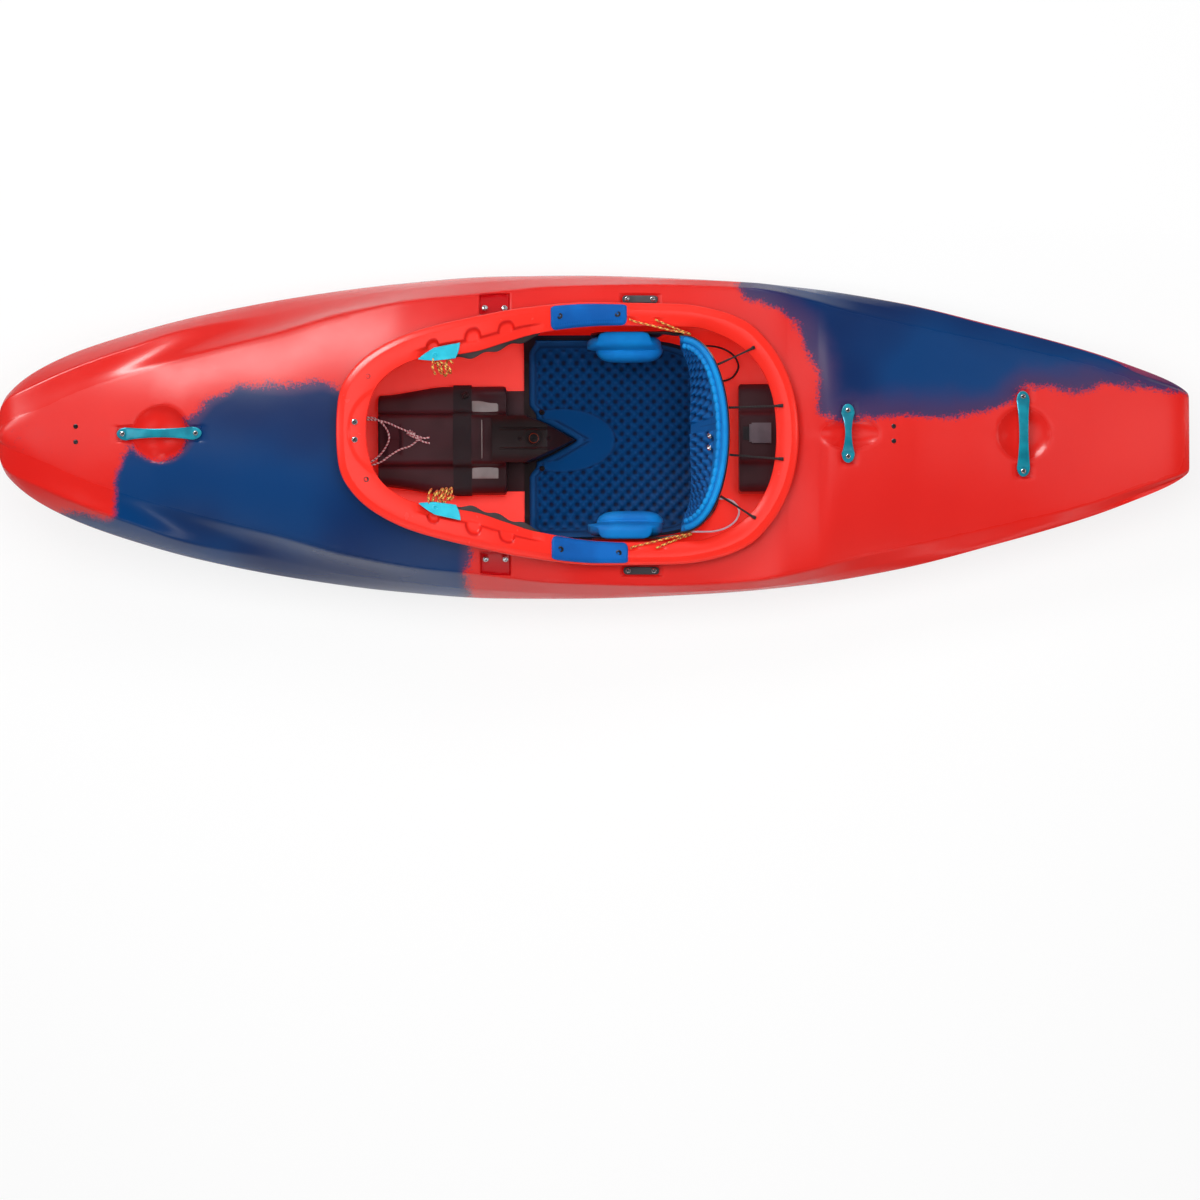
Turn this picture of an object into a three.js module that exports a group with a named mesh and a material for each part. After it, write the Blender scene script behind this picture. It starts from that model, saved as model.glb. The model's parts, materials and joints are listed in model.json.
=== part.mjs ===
// A whitewater kayak, in millimetres: bow towards -X, stern towards +X, +Z up, standing on its flat bottom
import * as THREE from 'three';

// Hull
const LENGTH = 2320;
const BEAM = 637;
const DECK_TOP = 352;
const HULL_WALL = 6;
const BOW_SOLID = 45;
const STERN_SOLID = 120;
const CHANNEL_DIP = 6;
const SIDE_BULGE = 5;

// Cockpit rim
const RIM_LENGTH = 894;
const RIM_WIDTH = 512;
const RIM_FRONT_X = -499;
const RIM_OVERHANG = 20;
const RIM_LIP = 19;
const RIM_ROUND = 5;
const RIM_CREST = 14;
const RIM_SLOPE = 9;
const OPENING_LENGTH = 793;
const OPENING_WIDTH = 422;
const OPENING_FRONT_X = -442;
const RIM_REAR_X = RIM_FRONT_X + RIM_LENGTH;

// Clearances
const SEAT_GAP = 0.35;
const CURVE_GAP = 0.5;

// Deck dishes under the handles
const BOW_DISH_X = -0.36207 * LENGTH;
const BOW_DISH_RADIUS = 57;
const BOW_DISH_DEPTH = 20;
const SECURITY_DISH_BEYOND_RIM = 100;
const SECURITY_DISH_X = RIM_REAR_X + SECURITY_DISH_BEYOND_RIM;
const SECURITY_DISH_LENGTH = 122;
const SECURITY_DISH_WIDTH = 63;
const SECURITY_DISH_DEPTH = 13;
const STERN_DISH_X = 0.36078 * LENGTH;
const STERN_DISH_RADIUS = 54;
const STERN_DISH_DEPTH = 15;

// Handles: a flat bowed bar with wide feet
const HANDLE_THICKNESS = 4.5;
const HANDLE_RISE = 14;
const HANDLE_FOOT = 19;
const BOW_HANDLE_X = -0.36336 * LENGTH;
const BOW_HANDLE_LENGTH = 165;
const BOW_HANDLE_BOLTS = 142;
const BOW_HANDLE_FOOT_WIDTH = 25;
const BOW_HANDLE_WAIST = 17;
const SECURITY_HANDLE_BEYOND_RIM = 96;
const SECURITY_HANDLE_X = RIM_REAR_X + SECURITY_HANDLE_BEYOND_RIM;
const SECURITY_HANDLE_LENGTH = 115;
const SECURITY_HANDLE_BOLTS = 90;
const SECURITY_HANDLE_FOOT_WIDTH = 26;
const SECURITY_HANDLE_WAIST = 13;
const STERN_HANDLE_X = 0.36034 * LENGTH;
const STERN_HANDLE_LENGTH = 168;
const STERN_HANDLE_BOLTS = 146;
const STERN_HANDLE_FOOT_WIDTH = 26;
const STERN_HANDLE_WAIST = 18;

// Button-head bolts
const BOLT_HEAD_RADIUS = 6;
const BOLT_HEAD_HEIGHT = 3.5;
const HANDLE_BOLT_RADIUS = 5;
const RIM_BOLT_X = -463;
const RIM_BOLT_SPACING = 34;
const THIGH_BOLT_X = -196;
const THIGH_BOLT_Y = 243;
const THIGH_BOLT_SPACING = 38;
const FOOTREST_BOLT_RADIUS = 9;
const FOOTREST_BOLT_REAR_X = -484;
const FOOTREST_BOLT_REAR_Z = 110;
const FOOTREST_BOLT_FRONT_X = -565;
const FOOTREST_BOLT_FRONT_Z = 125;

// Side plates that hold the seat's sides
const SIDE_PLATE_X = 87;
const SIDE_PLATE_LENGTH = 70;
const SIDE_PLATE_PLACE = 0.507;
const SIDE_PLATE_WIDTH = 15;
const SIDE_PLATE_THICKNESS = 3;

// Pads and tabs that lie on the rim
const RIM_PAD_FRONT_X = -87;
const RIM_PAD_REAR_X = 61;
const RIM_PAD_THICKNESS = 6;
const PULL_TAB_FRONT_X = -345;
const PULL_TAB_REAR_X = -267;
const PULL_TAB_THICKNESS = 3;
const THIGH_BRACE_FRONT_X = -272;
const THIGH_BRACE_REAR_X = -110;
const THIGH_BRACE_THICKNESS = 14;

// Centre console in front of the seat
const CONSOLE_FRONT_X = -432;
const CONSOLE_REAR_X = -178;
const CONSOLE_WIDTH = 214;
const CONSOLE_SHELF = 66;
const CONSOLE_RIDGE_WIDTH = 96;
const CONSOLE_RIDGE_TOP = 88;
const CONSOLE_CHAMFER = 12;
const STRAP_X = -265;
const STRAP_WIDTH = 36;
const STRAP_THICKNESS = 2.5;

// Seat
const SEAT_FRONT_X = -143;
const SEAT_REAR_X = 250;
const SEAT_WIDTH = 408;
const SEAT_FLAT_WIDTH = 300;
const SEAT_WING_RISE = 78;
const SEAT_WALL = 4;
const SEAT_PAD_THICKNESS = 16;
const SEAT_PAD_MARGIN = 8;
const SEAT_PAD_WIDTH = SEAT_WIDTH - 2 * SEAT_PAD_MARGIN;
const SEAT_PAD_INSET = 10;
const SEAT_TRAVEL = 28;
const TONGUE_TIP_X = -42;
const TONGUE_WIDTH = 92;
const TONGUE_FRONT_X = -206;
const TONGUE_TOP = 104;
const TONGUE_TIP_TOP = 52;
const TONGUE_WALL = 8;
const NOTCH_GAP = 4;
const KNOB_X = -123;
const KNOB_RADIUS = 12.5;
const KNOB_HEIGHT = 9;

// Hip supports
const HIP_FRONT_X = -17;
const HIP_REAR_X = 130;
const HIP_BRACKET_WALL = 6;
const HIP_BRACKET_TOP = 196;
const HIP_PAD_THICKNESS = 56;
const HIP_PAD_BOTTOM = 108;
const HIP_PAD_TOP = 186;
const PIVOT_HEIGHT = 200;
const PIVOT_LUG = 9;

// Backband
const BAND_REAR_X = 256;
const BAND_END_X = 163;
const BAND_HALF_WIDTH = 190;
const BAND_TOP = 298;
const BAND_END_TOP = 246;
const BAND_BOTTOM = 174;
const BAND_END_BOTTOM = 194;
const BAND_FOAM = 18;
const BAND_SHELL = 4;

// Rear console, webbing and buckle
const REAR_CONSOLE_FRONT_X = 282;
const REAR_CONSOLE_BEYOND_RIM = 150;
const REAR_CONSOLE_REAR_X = RIM_REAR_X + REAR_CONSOLE_BEYOND_RIM;
const REAR_CONSOLE_WIDTH = 216;
const REAR_CONSOLE_TOP = 112;
const WEBBING_WIDTH = 26;
const WEBBING_THICKNESS = 2;
const WEBBING_FRONT_X = 290;
const WEBBING_REAR_X = 345;
const BUCKLE_LENGTH = 38;
const BUCKLE_WIDTH = 40;
const BUCKLE_HEIGHT = 9;
const BUCKLE_Y = 8;
const PRONG_LENGTH = 30;

// Footrest on its rails, and foam pillars in both ends
const FOOTREST_X = -505;
const FOOTREST_THICKNESS = 8;
const FOOTREST_HEIGHT = 200;
const FOOTREST_SIDE_GAP = 12;
const FOOTREST_TRAVEL = 50;
const RAIL_WIDTH = 10;
const RAIL_HEIGHT = 22;
const RAIL_OVERRUN = 14;
const RAIL_GAP = 1.2;
const PILLAR_WIDTH = 76;
const PILLAR_CLEARANCE = 20;
const BOW_PILLAR_FRONT_X = -0.45259 * LENGTH;
const BOW_PILLAR_REAR_X = -0.31034 * LENGTH;
const STERN_PILLAR_GAP = 7;
const STERN_PILLAR_FRONT_X = REAR_CONSOLE_REAR_X + STERN_PILLAR_GAP;
const STERN_PILLAR_REAR_X = 0.40086 * LENGTH;

// Cords
const BUNGEE_DIAMETER = 5;
const CORD_DIAMETER = 4;
const GRAB_DIAMETER = 3.5;
const BUNDLE_RADIUS = 12;
const BUNDLE_PITCH = 9;
const BUNDLE_CENTRE_Y = 123;
const BUNDLE_STARBOARD_X = -313;
const BUNDLE_PORT_X = -322;
const CORD_STEP = 9;

// Colours and finishes
const finish = (color, roughness, metalness = 0) => new THREE.MeshStandardMaterial({ color, roughness, metalness });
const COLOURS = {
  hull: () => finish(0xe2402c, 0.42),
  teal: () => finish(0x0b8f9c, 0.3, 0.8),
  steel: () => finish(0xb9bcc0, 0.25, 1),
  blackSteel: () => finish(0x2a2a2c, 0.4, 1),
  black: () => finish(0x171313, 0.38),
  grey: () => finish(0x3c3c40, 0.5),
  blue: () => finish(0x0553a0, 0.8),
  tab: () => finish(0x14a5bd, 0.5),
  orangeCord: () => finish(0xe8922c, 0.8),
  bungee: () => finish(0x1c1a1c, 0.8),
  paleCord: () => finish(0xc9a9a8, 0.8),
  foam: () => finish(0x50525a, 0.9),
};

// Shape tables: each pair is a share of the hull's length, then a share of the size that the name gives
const beamShares = [
  [0, 0], [0.0055, 0.215], [0.0139, 0.294], [0.0307, 0.393], [0.0644, 0.521], [0.1065, 0.632], [0.165, 0.752],
  [0.25, 0.874], [0.334, 0.954], [0.418, 0.997], [0.481, 1], [0.586, 0.975], [0.67, 0.926], [0.755, 0.828],
  [0.839, 0.675], [0.923, 0.497], [0.957, 0.405], [0.983, 0.325], [0.996, 0.267], [1, 0.227],
];
const keelHeightShares = [
  [0, 0.858], [0.0017, 0.807], [0.0084, 0.746], [0.0253, 0.635], [0.0421, 0.54], [0.0758, 0.402],
  [0.1264, 0.2415], [0.2022, 0.088], [0.2864, 0.017], [0.3707, 0], [0.5644, 0], [0.6234, 0.017],
  [0.7077, 0.077], [0.7919, 0.17], [0.8762, 0.3025], [0.9436, 0.425], [0.9857, 0.497], [1, 0.528],
];
const chineHeightShares = [
  [0, 0.858], [0.0084, 0.775], [0.0371, 0.6], [0.0657, 0.5], [0.1272, 0.335], [0.2131, 0.2], [0.2536, 0.15],
  [0.3008, 0.082], [0.3454, 0.047], [0.3825, 0.033], [0.4844, 0.022], [0.5383, 0.028], [0.5922, 0.05],
  [0.6512, 0.078], [0.6959, 0.128], [0.7919, 0.225], [0.8762, 0.335], [0.9436, 0.442], [1, 0.533],
];
const chineWidthShares = [
  [0, 0.6], [0.1, 0.55], [0.2, 0.6], [0.3, 0.66], [0.5, 0.68], [0.7, 0.72], [0.9, 0.8], [1, 0.85],
];
const creaseHeightShares = [
  [0, 0.858], [0.0051, 0.793], [0.0371, 0.658], [0.0657, 0.614], [0.0817, 0.572], [0.1272, 0.476],
  [0.1719, 0.408], [0.2174, 0.361], [0.2468, 0.35], [0.3454, 0.305], [0.497, 0.262], [0.6487, 0.245],
  [0.716, 0.26], [0.7843, 0.3], [0.8517, 0.355], [0.92, 0.43], [0.97, 0.5], [1, 0.54],
];
const creaseWidthShares = [[0, 0.97], [0.1, 0.965], [0.2, 0.95], [0.3, 0.93], [0.5, 0.92], [1, 0.92]];
const seamHeightShares = [
  [0, 0.858], [0.0051, 0.82], [0.0211, 0.784], [0.0657, 0.682], [0.0927, 0.619], [0.1272, 0.5625],
  [0.1719, 0.505], [0.2174, 0.463], [0.262, 0.439], [0.3454, 0.409], [0.497, 0.403], [0.6487, 0.369],
  [0.716, 0.375], [0.7843, 0.403], [0.8517, 0.432], [0.92, 0.48], [0.97, 0.525], [1, 0.545],
];
const flankWidthShares = [
  [0, 0], [0.0055, 0.19], [0.0307, 0.3], [0.0627, 0.405], [0.1099, 0.534], [0.1545, 0.648], [0.189, 0.702],
  [0.2226, 0.744], [0.29, 0.85], [0.35, 0.91], [0.4634, 0.965], [0.55, 0.965], [0.63, 0.945], [0.7125, 0.84],
  [0.7546, 0.775], [0.8388, 0.63], [0.923, 0.462], [0.957, 0.375], [0.983, 0.305], [1, 0.222],
];
const flankHeightShares = [
  [0, 0.858], [0.02, 0.87], [0.0627, 0.86], [0.1099, 0.798], [0.185, 0.659], [0.2712, 0.6], [0.36, 0.6],
  [0.46, 0.53], [0.54, 0.49], [0.65, 0.48], [0.7161, 0.44], [0.8062, 0.437], [0.8972, 0.483], [0.9419, 0.51],
  [1, 0.548],
];
const shoulderWidthShares = [
  [0, 0], [0.0055, 0.06], [0.0198, 0.115], [0.0375, 0.165], [0.0644, 0.255], [0.1099, 0.377], [0.1772, 0.515],
  [0.2336, 0.62], [0.29, 0.736], [0.3506, 0.819], [0.4053, 0.86], [0.4634, 0.908], [0.55, 0.925], [0.63, 0.9],
  [0.67, 0.85], [0.7125, 0.77], [0.7546, 0.7], [0.8388, 0.57], [0.923, 0.42], [0.9567, 0.34], [0.983, 0.28],
  [1, 0.215],
];
const shoulderHeightShares = [
  [0, 0.858], [0.0055, 0.895], [0.02, 0.905], [0.0644, 0.885], [0.1099, 0.847], [0.1422, 0.83], [0.2174, 0.818],
  [0.2712, 0.835], [0.3286, 0.83], [0.3589, 0.801], [0.4179, 0.724], [0.4634, 0.658], [0.5072, 0.616],
  [0.5417, 0.585], [0.5906, 0.5525], [0.6226, 0.5625], [0.6487, 0.585], [0.6824, 0.54], [0.7161, 0.503],
  [0.7616, 0.478], [0.8062, 0.463], [0.8517, 0.472], [0.8972, 0.505], [0.9419, 0.534], [0.9874, 0.565], [1, 0.551],
];
const deckHeightShares = [
  [0, 0.858], [0.0017, 0.896], [0.0084, 0.923], [0.0253, 0.923], [0.0421, 0.912], [0.1011, 0.906],
  [0.1264, 0.909], [0.16, 0.946], [0.2022, 0.952], [0.2443, 0.98], [0.2847, 1], [0.3286, 1.028],
  [0.3707, 1.023], [0.4128, 0.994], [0.4549, 0.895], [0.497, 0.733], [0.5392, 0.642], [0.5813, 0.608],
  [0.6234, 0.585], [0.6622, 0.577], [0.6756, 0.582], [0.6984, 0.656], [0.7245, 0.635], [0.7498, 0.607],
  [0.775, 0.574], [0.8003, 0.557], [0.834, 0.54], [0.8762, 0.534], [0.9183, 0.54], [0.9436, 0.551],
  [0.9688, 0.568], [0.9857, 0.58], [0.9941, 0.575], [1, 0.557],
];
const rimHeightShares = [
  [0.285, 1.111], [0.299, 1.1], [0.35, 1.043], [0.404, 0.974], [0.457, 0.866], [0.498, 0.77], [0.538, 0.716],
  [0.592, 0.69], [0.671, 0.682],
];
// Pairs for the two cockpit outlines: a share of the sweep from front to rear, then a share of the half width
const lipOutlineShares = [
  [0, 0], [0.0514, 0.275], [0.1114, 0.443], [0.1775, 0.595], [0.2545, 0.733], [0.3163, 0.813], [0.3711, 0.874],
  [0.432, 0.939], [0.54, 1], [0.6564, 0.992], [0.725, 0.943], [0.7843, 0.85], [0.8359, 0.7], [0.897, 0.473],
  [0.9407, 0.285], [1, 0],
];
const openingOutlineShares = [
  [0, 0], [0.0838, 0.338], [0.1231, 0.455], [0.1692, 0.56], [0.2283, 0.655], [0.3064, 0.704], [0.3468, 0.74],
  [0.3946, 0.824], [0.4449, 0.91], [0.5409, 0.99], [0.5857, 1], [0.7032, 0.985], [0.7614, 0.91],
  [0.8339, 0.741], [0.9074, 0.48], [0.9682, 0.19], [1, 0],
];

const HALF_LENGTH = LENGTH / 2;
const HALF_BEAM = BEAM / 2;
const WALL_FRONT_X = RIM_FRONT_X + RIM_OVERHANG;
const WALL_REAR_X = RIM_REAR_X - RIM_OVERHANG;
const shareOf = x => (x + HALF_LENGTH) / LENGTH;
const placeOf = share => share * LENGTH - HALF_LENGTH;
const mix = (from, to, part) => from + (to - from) * part;
const clamp = (value, low, high) => Math.min(Math.max(value, low), high);

// Turns a share of a length into a share of a sweep, so that round ends get close points
const sweepOf = share => Math.acos(clamp(1 - 2 * share, -1, 1)) / Math.PI;
const shareOfSweep = sweep => (1 - Math.cos(Math.PI * sweep)) / 2;

// A cubic through the pairs that never swings past them
function curveThrough(pairs, ease = value => value) {
  const at = pairs.map(pair => ease(pair[0]));
  const value = pairs.map(pair => pair[1]);
  const step = value.slice(1).map((next, i) => (next - value[i]) / (at[i + 1] - at[i]));
  const slope = value.map((_, i) => {
    if (i === 0) return step[0];
    if (i === step.length) return step[i - 1];
    return step[i - 1] * step[i] <= 0 ? 0 : 2 / (1 / step[i - 1] + 1 / step[i]);
  });
  return share => {
    const place = clamp(ease(share), at[0], at[at.length - 1]);
    const i = clamp(at.findIndex(next => next > place) - 1, 0, at.length - 2);
    const k = place >= at[at.length - 1] ? at.length - 2 : i;
    const span = at[k + 1] - at[k];
    const t = (place - at[k]) / span;
    const rest = 1 - t;
    return value[k] * rest * rest * (1 + 2 * t) + value[k + 1] * t * t * (3 - 2 * t)
      + span * t * rest * (slope[k] * rest - slope[k + 1] * t);
  };
}
const alongHull = pairs => curveThrough(pairs, sweepOf);
const beamAt = alongHull(beamShares);
const keelAt = alongHull(keelHeightShares);
const chineHeightAt = alongHull(chineHeightShares);
const chineWidthAt = alongHull(chineWidthShares);
const creaseHeightAt = alongHull(creaseHeightShares);
const creaseWidthAt = alongHull(creaseWidthShares);
const seamAt = alongHull(seamHeightShares);
const flankWidthAt = alongHull(flankWidthShares);
const flankHeightAt = alongHull(flankHeightShares);
const shoulderWidthAt = alongHull(shoulderWidthShares);
const shoulderHeightAt = alongHull(shoulderHeightShares);
const deckAt = alongHull(deckHeightShares);
const rimAt = curveThrough(rimHeightShares);
const lipOutline = curveThrough(lipOutlineShares);
const openingOutline = curveThrough(openingOutlineShares);

// How far a dish sinks the deck at a place
const DISHES = [
  { x: BOW_DISH_X, length: 2 * BOW_DISH_RADIUS, width: 2 * BOW_DISH_RADIUS, depth: BOW_DISH_DEPTH },
  { x: SECURITY_DISH_X, length: SECURITY_DISH_LENGTH, width: SECURITY_DISH_WIDTH, depth: SECURITY_DISH_DEPTH },
  { x: STERN_DISH_X, length: 2 * STERN_DISH_RADIUS, width: 2 * STERN_DISH_RADIUS, depth: STERN_DISH_DEPTH },
];
function dishDepth(x, y) {
  let sink = 0;
  for (const dish of DISHES) {
    const reach = Math.hypot((x - dish.x) / (dish.length / 2), y / (dish.width / 2));
    if (reach < 1) sink += dish.depth * (1 - reach ** 3);
  }
  return sink;
}

// Half width of the rim's wall where it meets the deck, and zero in front of and behind the cockpit
function wallHalfWidth(x) {
  const share = (x - WALL_FRONT_X) / (WALL_REAR_X - WALL_FRONT_X);
  if (share <= 0 || share >= 1) return 0;
  return (RIM_WIDTH / 2 - RIM_OVERHANG) * lipOutline(sweepOf(share));
}

// Half of one cross-section, from the keel round the side to the deck's inner edge, as [y, z] pairs
const DECK_COLUMNS = 5;
function section(x) {
  const share = clamp(shareOf(x), 0, 1);
  const beam = HALF_BEAM * beamAt(share);
  const keel = DECK_TOP * keelAt(share);
  const chine = [beam * chineWidthAt(share), Math.max(DECK_TOP * chineHeightAt(share), keel)];
  const crease = [beam * creaseWidthAt(share), DECK_TOP * creaseHeightAt(share)];
  const seam = [beam, DECK_TOP * seamAt(share)];
  const flank = [Math.min(HALF_BEAM * flankWidthAt(share), beam), DECK_TOP * flankHeightAt(share)];
  const shoulder = [HALF_BEAM * shoulderWidthAt(share), DECK_TOP * shoulderHeightAt(share)];
  const deck = DECK_TOP * deckAt(share);
  const fullness = beam / HALF_BEAM;
  const dip = CHANNEL_DIP * Math.sin(Math.PI * clamp(share / 0.36, 0, 1));
  const points = [
    [0, keel],
    [chine[0] * 0.6, keel],
    chine,
    [mix(chine[0], crease[0], 0.55) + SIDE_BULGE * fullness, mix(chine[1], crease[1], 0.45)],
    crease,
    seam,
    [mix(seam[0], flank[0], 0.4), mix(seam[1], flank[1], 0.5)],
    flank,
    [mix(flank[0], shoulder[0], 0.5) - dip * fullness, mix(flank[1], shoulder[1], 0.5) - dip * fullness / 2],
    shoulder,
  ];
  const inner = wallHalfWidth(x);
  for (let column = 1; column <= DECK_COLUMNS; column++) {
    const y = mix(shoulder[0], inner, column / DECK_COLUMNS);
    const reach = shoulder[0] > 0 ? y / shoulder[0] : 0;
    points.push([y, shoulder[1] + (deck - shoulder[1]) * (1 - reach * reach) - dishDepth(x, y)]);
  }
  return points;
}

// The same section moved inwards by the wall
function innerSection(x) {
  const inside = clamp(x, BOW_SOLID - HALF_LENGTH, HALF_LENGTH - STERN_SOLID);
  const outer = section(inside);
  const last = outer.length - 1;
  return outer.map((point, i) => {
    const before = outer[Math.max(i - 1, 0)];
    const after = outer[Math.min(i + 1, last)];
    if (i === 0) return [0, point[1] + HULL_WALL];
    if (i === last) return [point[0], point[1] - HULL_WALL];
    const run = Math.hypot(after[0] - before[0], after[1] - before[1]);
    const inwards = [-(after[1] - before[1]) / run, (after[0] - before[0]) / run];
    return [Math.max(point[0] + HULL_WALL * inwards[0], 0), point[1] + HULL_WALL * inwards[1]];
  });
}

// Stations along the hull: close together at both tips, at both ends of the cockpit and over the dishes
const BOW_STATIONS = 22;
const COCKPIT_STATIONS = 24;
const STERN_STATIONS = 24;
function hullStations() {
  const stations = [];
  const bowSweep = sweepOf(shareOf(WALL_FRONT_X));
  for (let i = 0; i < BOW_STATIONS; i++) stations.push(placeOf(shareOfSweep(bowSweep * i / BOW_STATIONS)));
  for (let i = 0; i < COCKPIT_STATIONS; i++) {
    stations.push(mix(WALL_FRONT_X, WALL_REAR_X, shareOfSweep(i / COCKPIT_STATIONS)));
  }
  for (let i = 0; i <= STERN_STATIONS; i++) {
    stations.push(mix(WALL_REAR_X, HALF_LENGTH, 1 - (1 - i / STERN_STATIONS) ** 1.25));
  }
  return stations;
}
const STATIONS = hullStations();
const COCKPIT_START = BOW_STATIONS;
const COCKPIT_END = BOW_STATIONS + COCKPIT_STATIONS;

// Half of the outer and inner skins as triangles, so that what lies on them follows the same flat faces
function skinTriangles(shape, placeAt) {
  const rows = STATIONS.map(x => shape(x).map(([y, z]) => [placeAt(x), y, z]));
  const triangles = [];
  for (let i = 0; i + 1 < rows.length; i++) {
    for (let j = 0; j + 1 < rows[i].length; j++) {
      triangles.push([rows[i][j], rows[i][j + 1], rows[i + 1][j + 1]]);
      triangles.push([rows[i][j], rows[i + 1][j + 1], rows[i + 1][j]]);
    }
  }
  return triangles;
}
const insideOf = x => clamp(x, BOW_SOLID - HALF_LENGTH, HALF_LENGTH - STERN_SOLID);
const OUTER_SKIN = skinTriangles(section, x => x);
const INNER_SKIN = skinTriangles(innerSection, insideOf);

// Every height or width at which a line along one axis meets a skin, with a little allowed over an edge's ends
const EDGE_SLACK = 1e-9;
function meet(triangles, axis, place) {
  const [u, v] = [0, 1, 2].filter(other => other !== axis);
  const hits = [];
  for (const [a, b, c] of triangles) {
    const area = (b[u] - a[u]) * (c[v] - a[v]) - (c[u] - a[u]) * (b[v] - a[v]);
    if (area === 0) continue;
    const second = ((place[0] - a[u]) * (c[v] - a[v]) - (c[u] - a[u]) * (place[1] - a[v])) / area;
    const third = ((b[u] - a[u]) * (place[1] - a[v]) - (place[0] - a[u]) * (b[v] - a[v])) / area;
    if (second < -EDGE_SLACK || third < -EDGE_SLACK || second + third > 1 + EDGE_SLACK) continue;
    hits.push(a[axis] + second * (b[axis] - a[axis]) + third * (c[axis] - a[axis]));
  }
  return hits;
}
const deckHeight = (x, y) => Math.max(...meet(OUTER_SKIN, 2, [x, Math.abs(y)]));
const ceilingHeight = (x, y) => Math.max(...meet(INNER_SKIN, 2, [x, Math.abs(y)]));
const floorHeight = (x, y) => Math.min(...meet(INNER_SKIN, 2, [x, Math.abs(y)]));
const sideWidth = (x, z) => Math.max(...meet(OUTER_SKIN, 1, [x, z]));
const innerSideWidth = (x, z) => Math.max(...meet(INNER_SKIN, 1, [x, z]));
const stationsBetween = (from, to) => [from, ...STATIONS.filter(x => x > from + RIM_ROUND && x < to - RIM_ROUND), to];

// One cross-section of the cockpit rim, from the foot of its wall over the lip to the inner skin
const RIM_POINTS = [
  'foot', 'wall', 'lip under', 'lip low', 'lip high', 'crest', 'flange', 'slope', 'edge', 'edge under', 'under',
];
const RIM_COLUMNS = {
  crest: RIM_POINTS.indexOf('crest'), edge: RIM_POINTS.indexOf('edge'), under: RIM_POINTS.indexOf('under'),
};
function rimSection(sweep) {
  const along = shareOfSweep(sweep);
  const halfWidth = lipOutline(sweep);
  const wallAt = inset => [
    mix(RIM_FRONT_X + RIM_OVERHANG + inset, RIM_REAR_X - RIM_OVERHANG - inset, along),
    (RIM_WIDTH / 2 - RIM_OVERHANG - inset) * halfWidth,
  ];
  const lipAt = inset => [
    mix(RIM_FRONT_X + inset, RIM_REAR_X - inset, along),
    (RIM_WIDTH / 2 - inset) * halfWidth,
  ];
  const edge = [OPENING_FRONT_X + OPENING_LENGTH * along, OPENING_WIDTH / 2 * openingOutline(sweep)];
  const lip = lipAt(0);
  const top = DECK_TOP * rimAt(shareOf(lip[0]));
  const foot = wallAt(0);
  const footHeight = section(foot[0]).at(-1)[1];
  const between = (part, height) => {
    const crest = lipAt(RIM_CREST);
    return [mix(crest[0], edge[0], part), mix(crest[1], edge[1], part), height];
  };
  const lower = top - RIM_LIP;
  return [
    [...foot, footHeight],
    [...wallAt(0), lower - RIM_ROUND / 2],
    [...lipAt(RIM_ROUND), lower],
    [...lip, lower + RIM_ROUND],
    [...lip, top - RIM_ROUND],
    [...lipAt(RIM_CREST), top],
    between(0.4, top - RIM_SLOPE * 0.2),
    between(0.8, top - RIM_SLOPE * 0.6),
    [...edge, top - RIM_SLOPE],
    [...edge, top - RIM_SLOPE - HULL_WALL * 1.5],
    between(0.8, top - RIM_SLOPE * 0.6 - HULL_WALL * 1.5),
    [...wallAt(HULL_WALL), lower + HULL_WALL / 2],
    [...wallAt(HULL_WALL), footHeight - HULL_WALL],
    [...foot, footHeight - HULL_WALL],
  ];
}

function rimTriangles() {
  const rows = [];
  for (let i = 0; i <= COCKPIT_STATIONS; i++) rows.push(rimSection(i / COCKPIT_STATIONS));
  const triangles = [];
  for (let i = 0; i + 1 < rows.length; i++) {
    for (let j = 0; j + 1 < rows[i].length; j++) {
      triangles.push([rows[i][j], rows[i][j + 1], rows[i + 1][j + 1]]);
      triangles.push([rows[i][j], rows[i + 1][j + 1], rows[i + 1][j]]);
    }
  }
  return triangles;
}
const RIM_SKIN = rimTriangles();
const rimHeight = (x, y) => Math.max(...meet(RIM_SKIN, 2, [x, Math.abs(y)]));

// Collects triangles, drops the ones without area, and mirrors a half model across the centre plane
const MERGE_SHARES = 1e4;
class Skin {
  constructor() {
    this.triangles = [];
  }

  triangle(a, b, c) {
    this.triangles.push([a, b, c]);
  }

  sheet(rows) {
    for (let i = 0; i + 1 < rows.length; i++) {
      for (let j = 0; j + 1 < rows[i].length; j++) {
        this.triangle(rows[i][j], rows[i][j + 1], rows[i + 1][j + 1]);
        this.triangle(rows[i][j], rows[i + 1][j + 1], rows[i + 1][j]);
      }
    }
  }

  fan(centre, ring) {
    for (let i = 0; i + 1 < ring.length; i++) this.triangle(centre, ring[i], ring[i + 1]);
  }

  mirrored() {
    const flip = point => [point[0], point[1] === 0 ? 0 : -point[1], point[2]];
    const other = this.triangles.map(([a, b, c]) => [flip(a), flip(c), flip(b)]);
    this.triangles.push(...other);
    return this;
  }

  geometry() {
    const index = new Map();
    const positions = [];
    const faces = [];
    const vertex = point => {
      const key = point.map(value => Math.round(value * MERGE_SHARES)).join();
      if (!index.has(key)) {
        index.set(key, positions.length / 3);
        positions.push(...point);
      }
      return index.get(key);
    };
    for (const corners of this.triangles) {
      const [a, b, c] = corners.map(vertex);
      if (a !== b && b !== c && c !== a) faces.push(a, b, c);
    }
    const geometry = new THREE.BufferGeometry();
    geometry.setAttribute('position', new THREE.Float32BufferAttribute(positions, 3));
    geometry.setIndex(signedVolume(positions, faces) < 0 ? faces.reverse() : faces);
    return geometry;
  }
}

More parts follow.
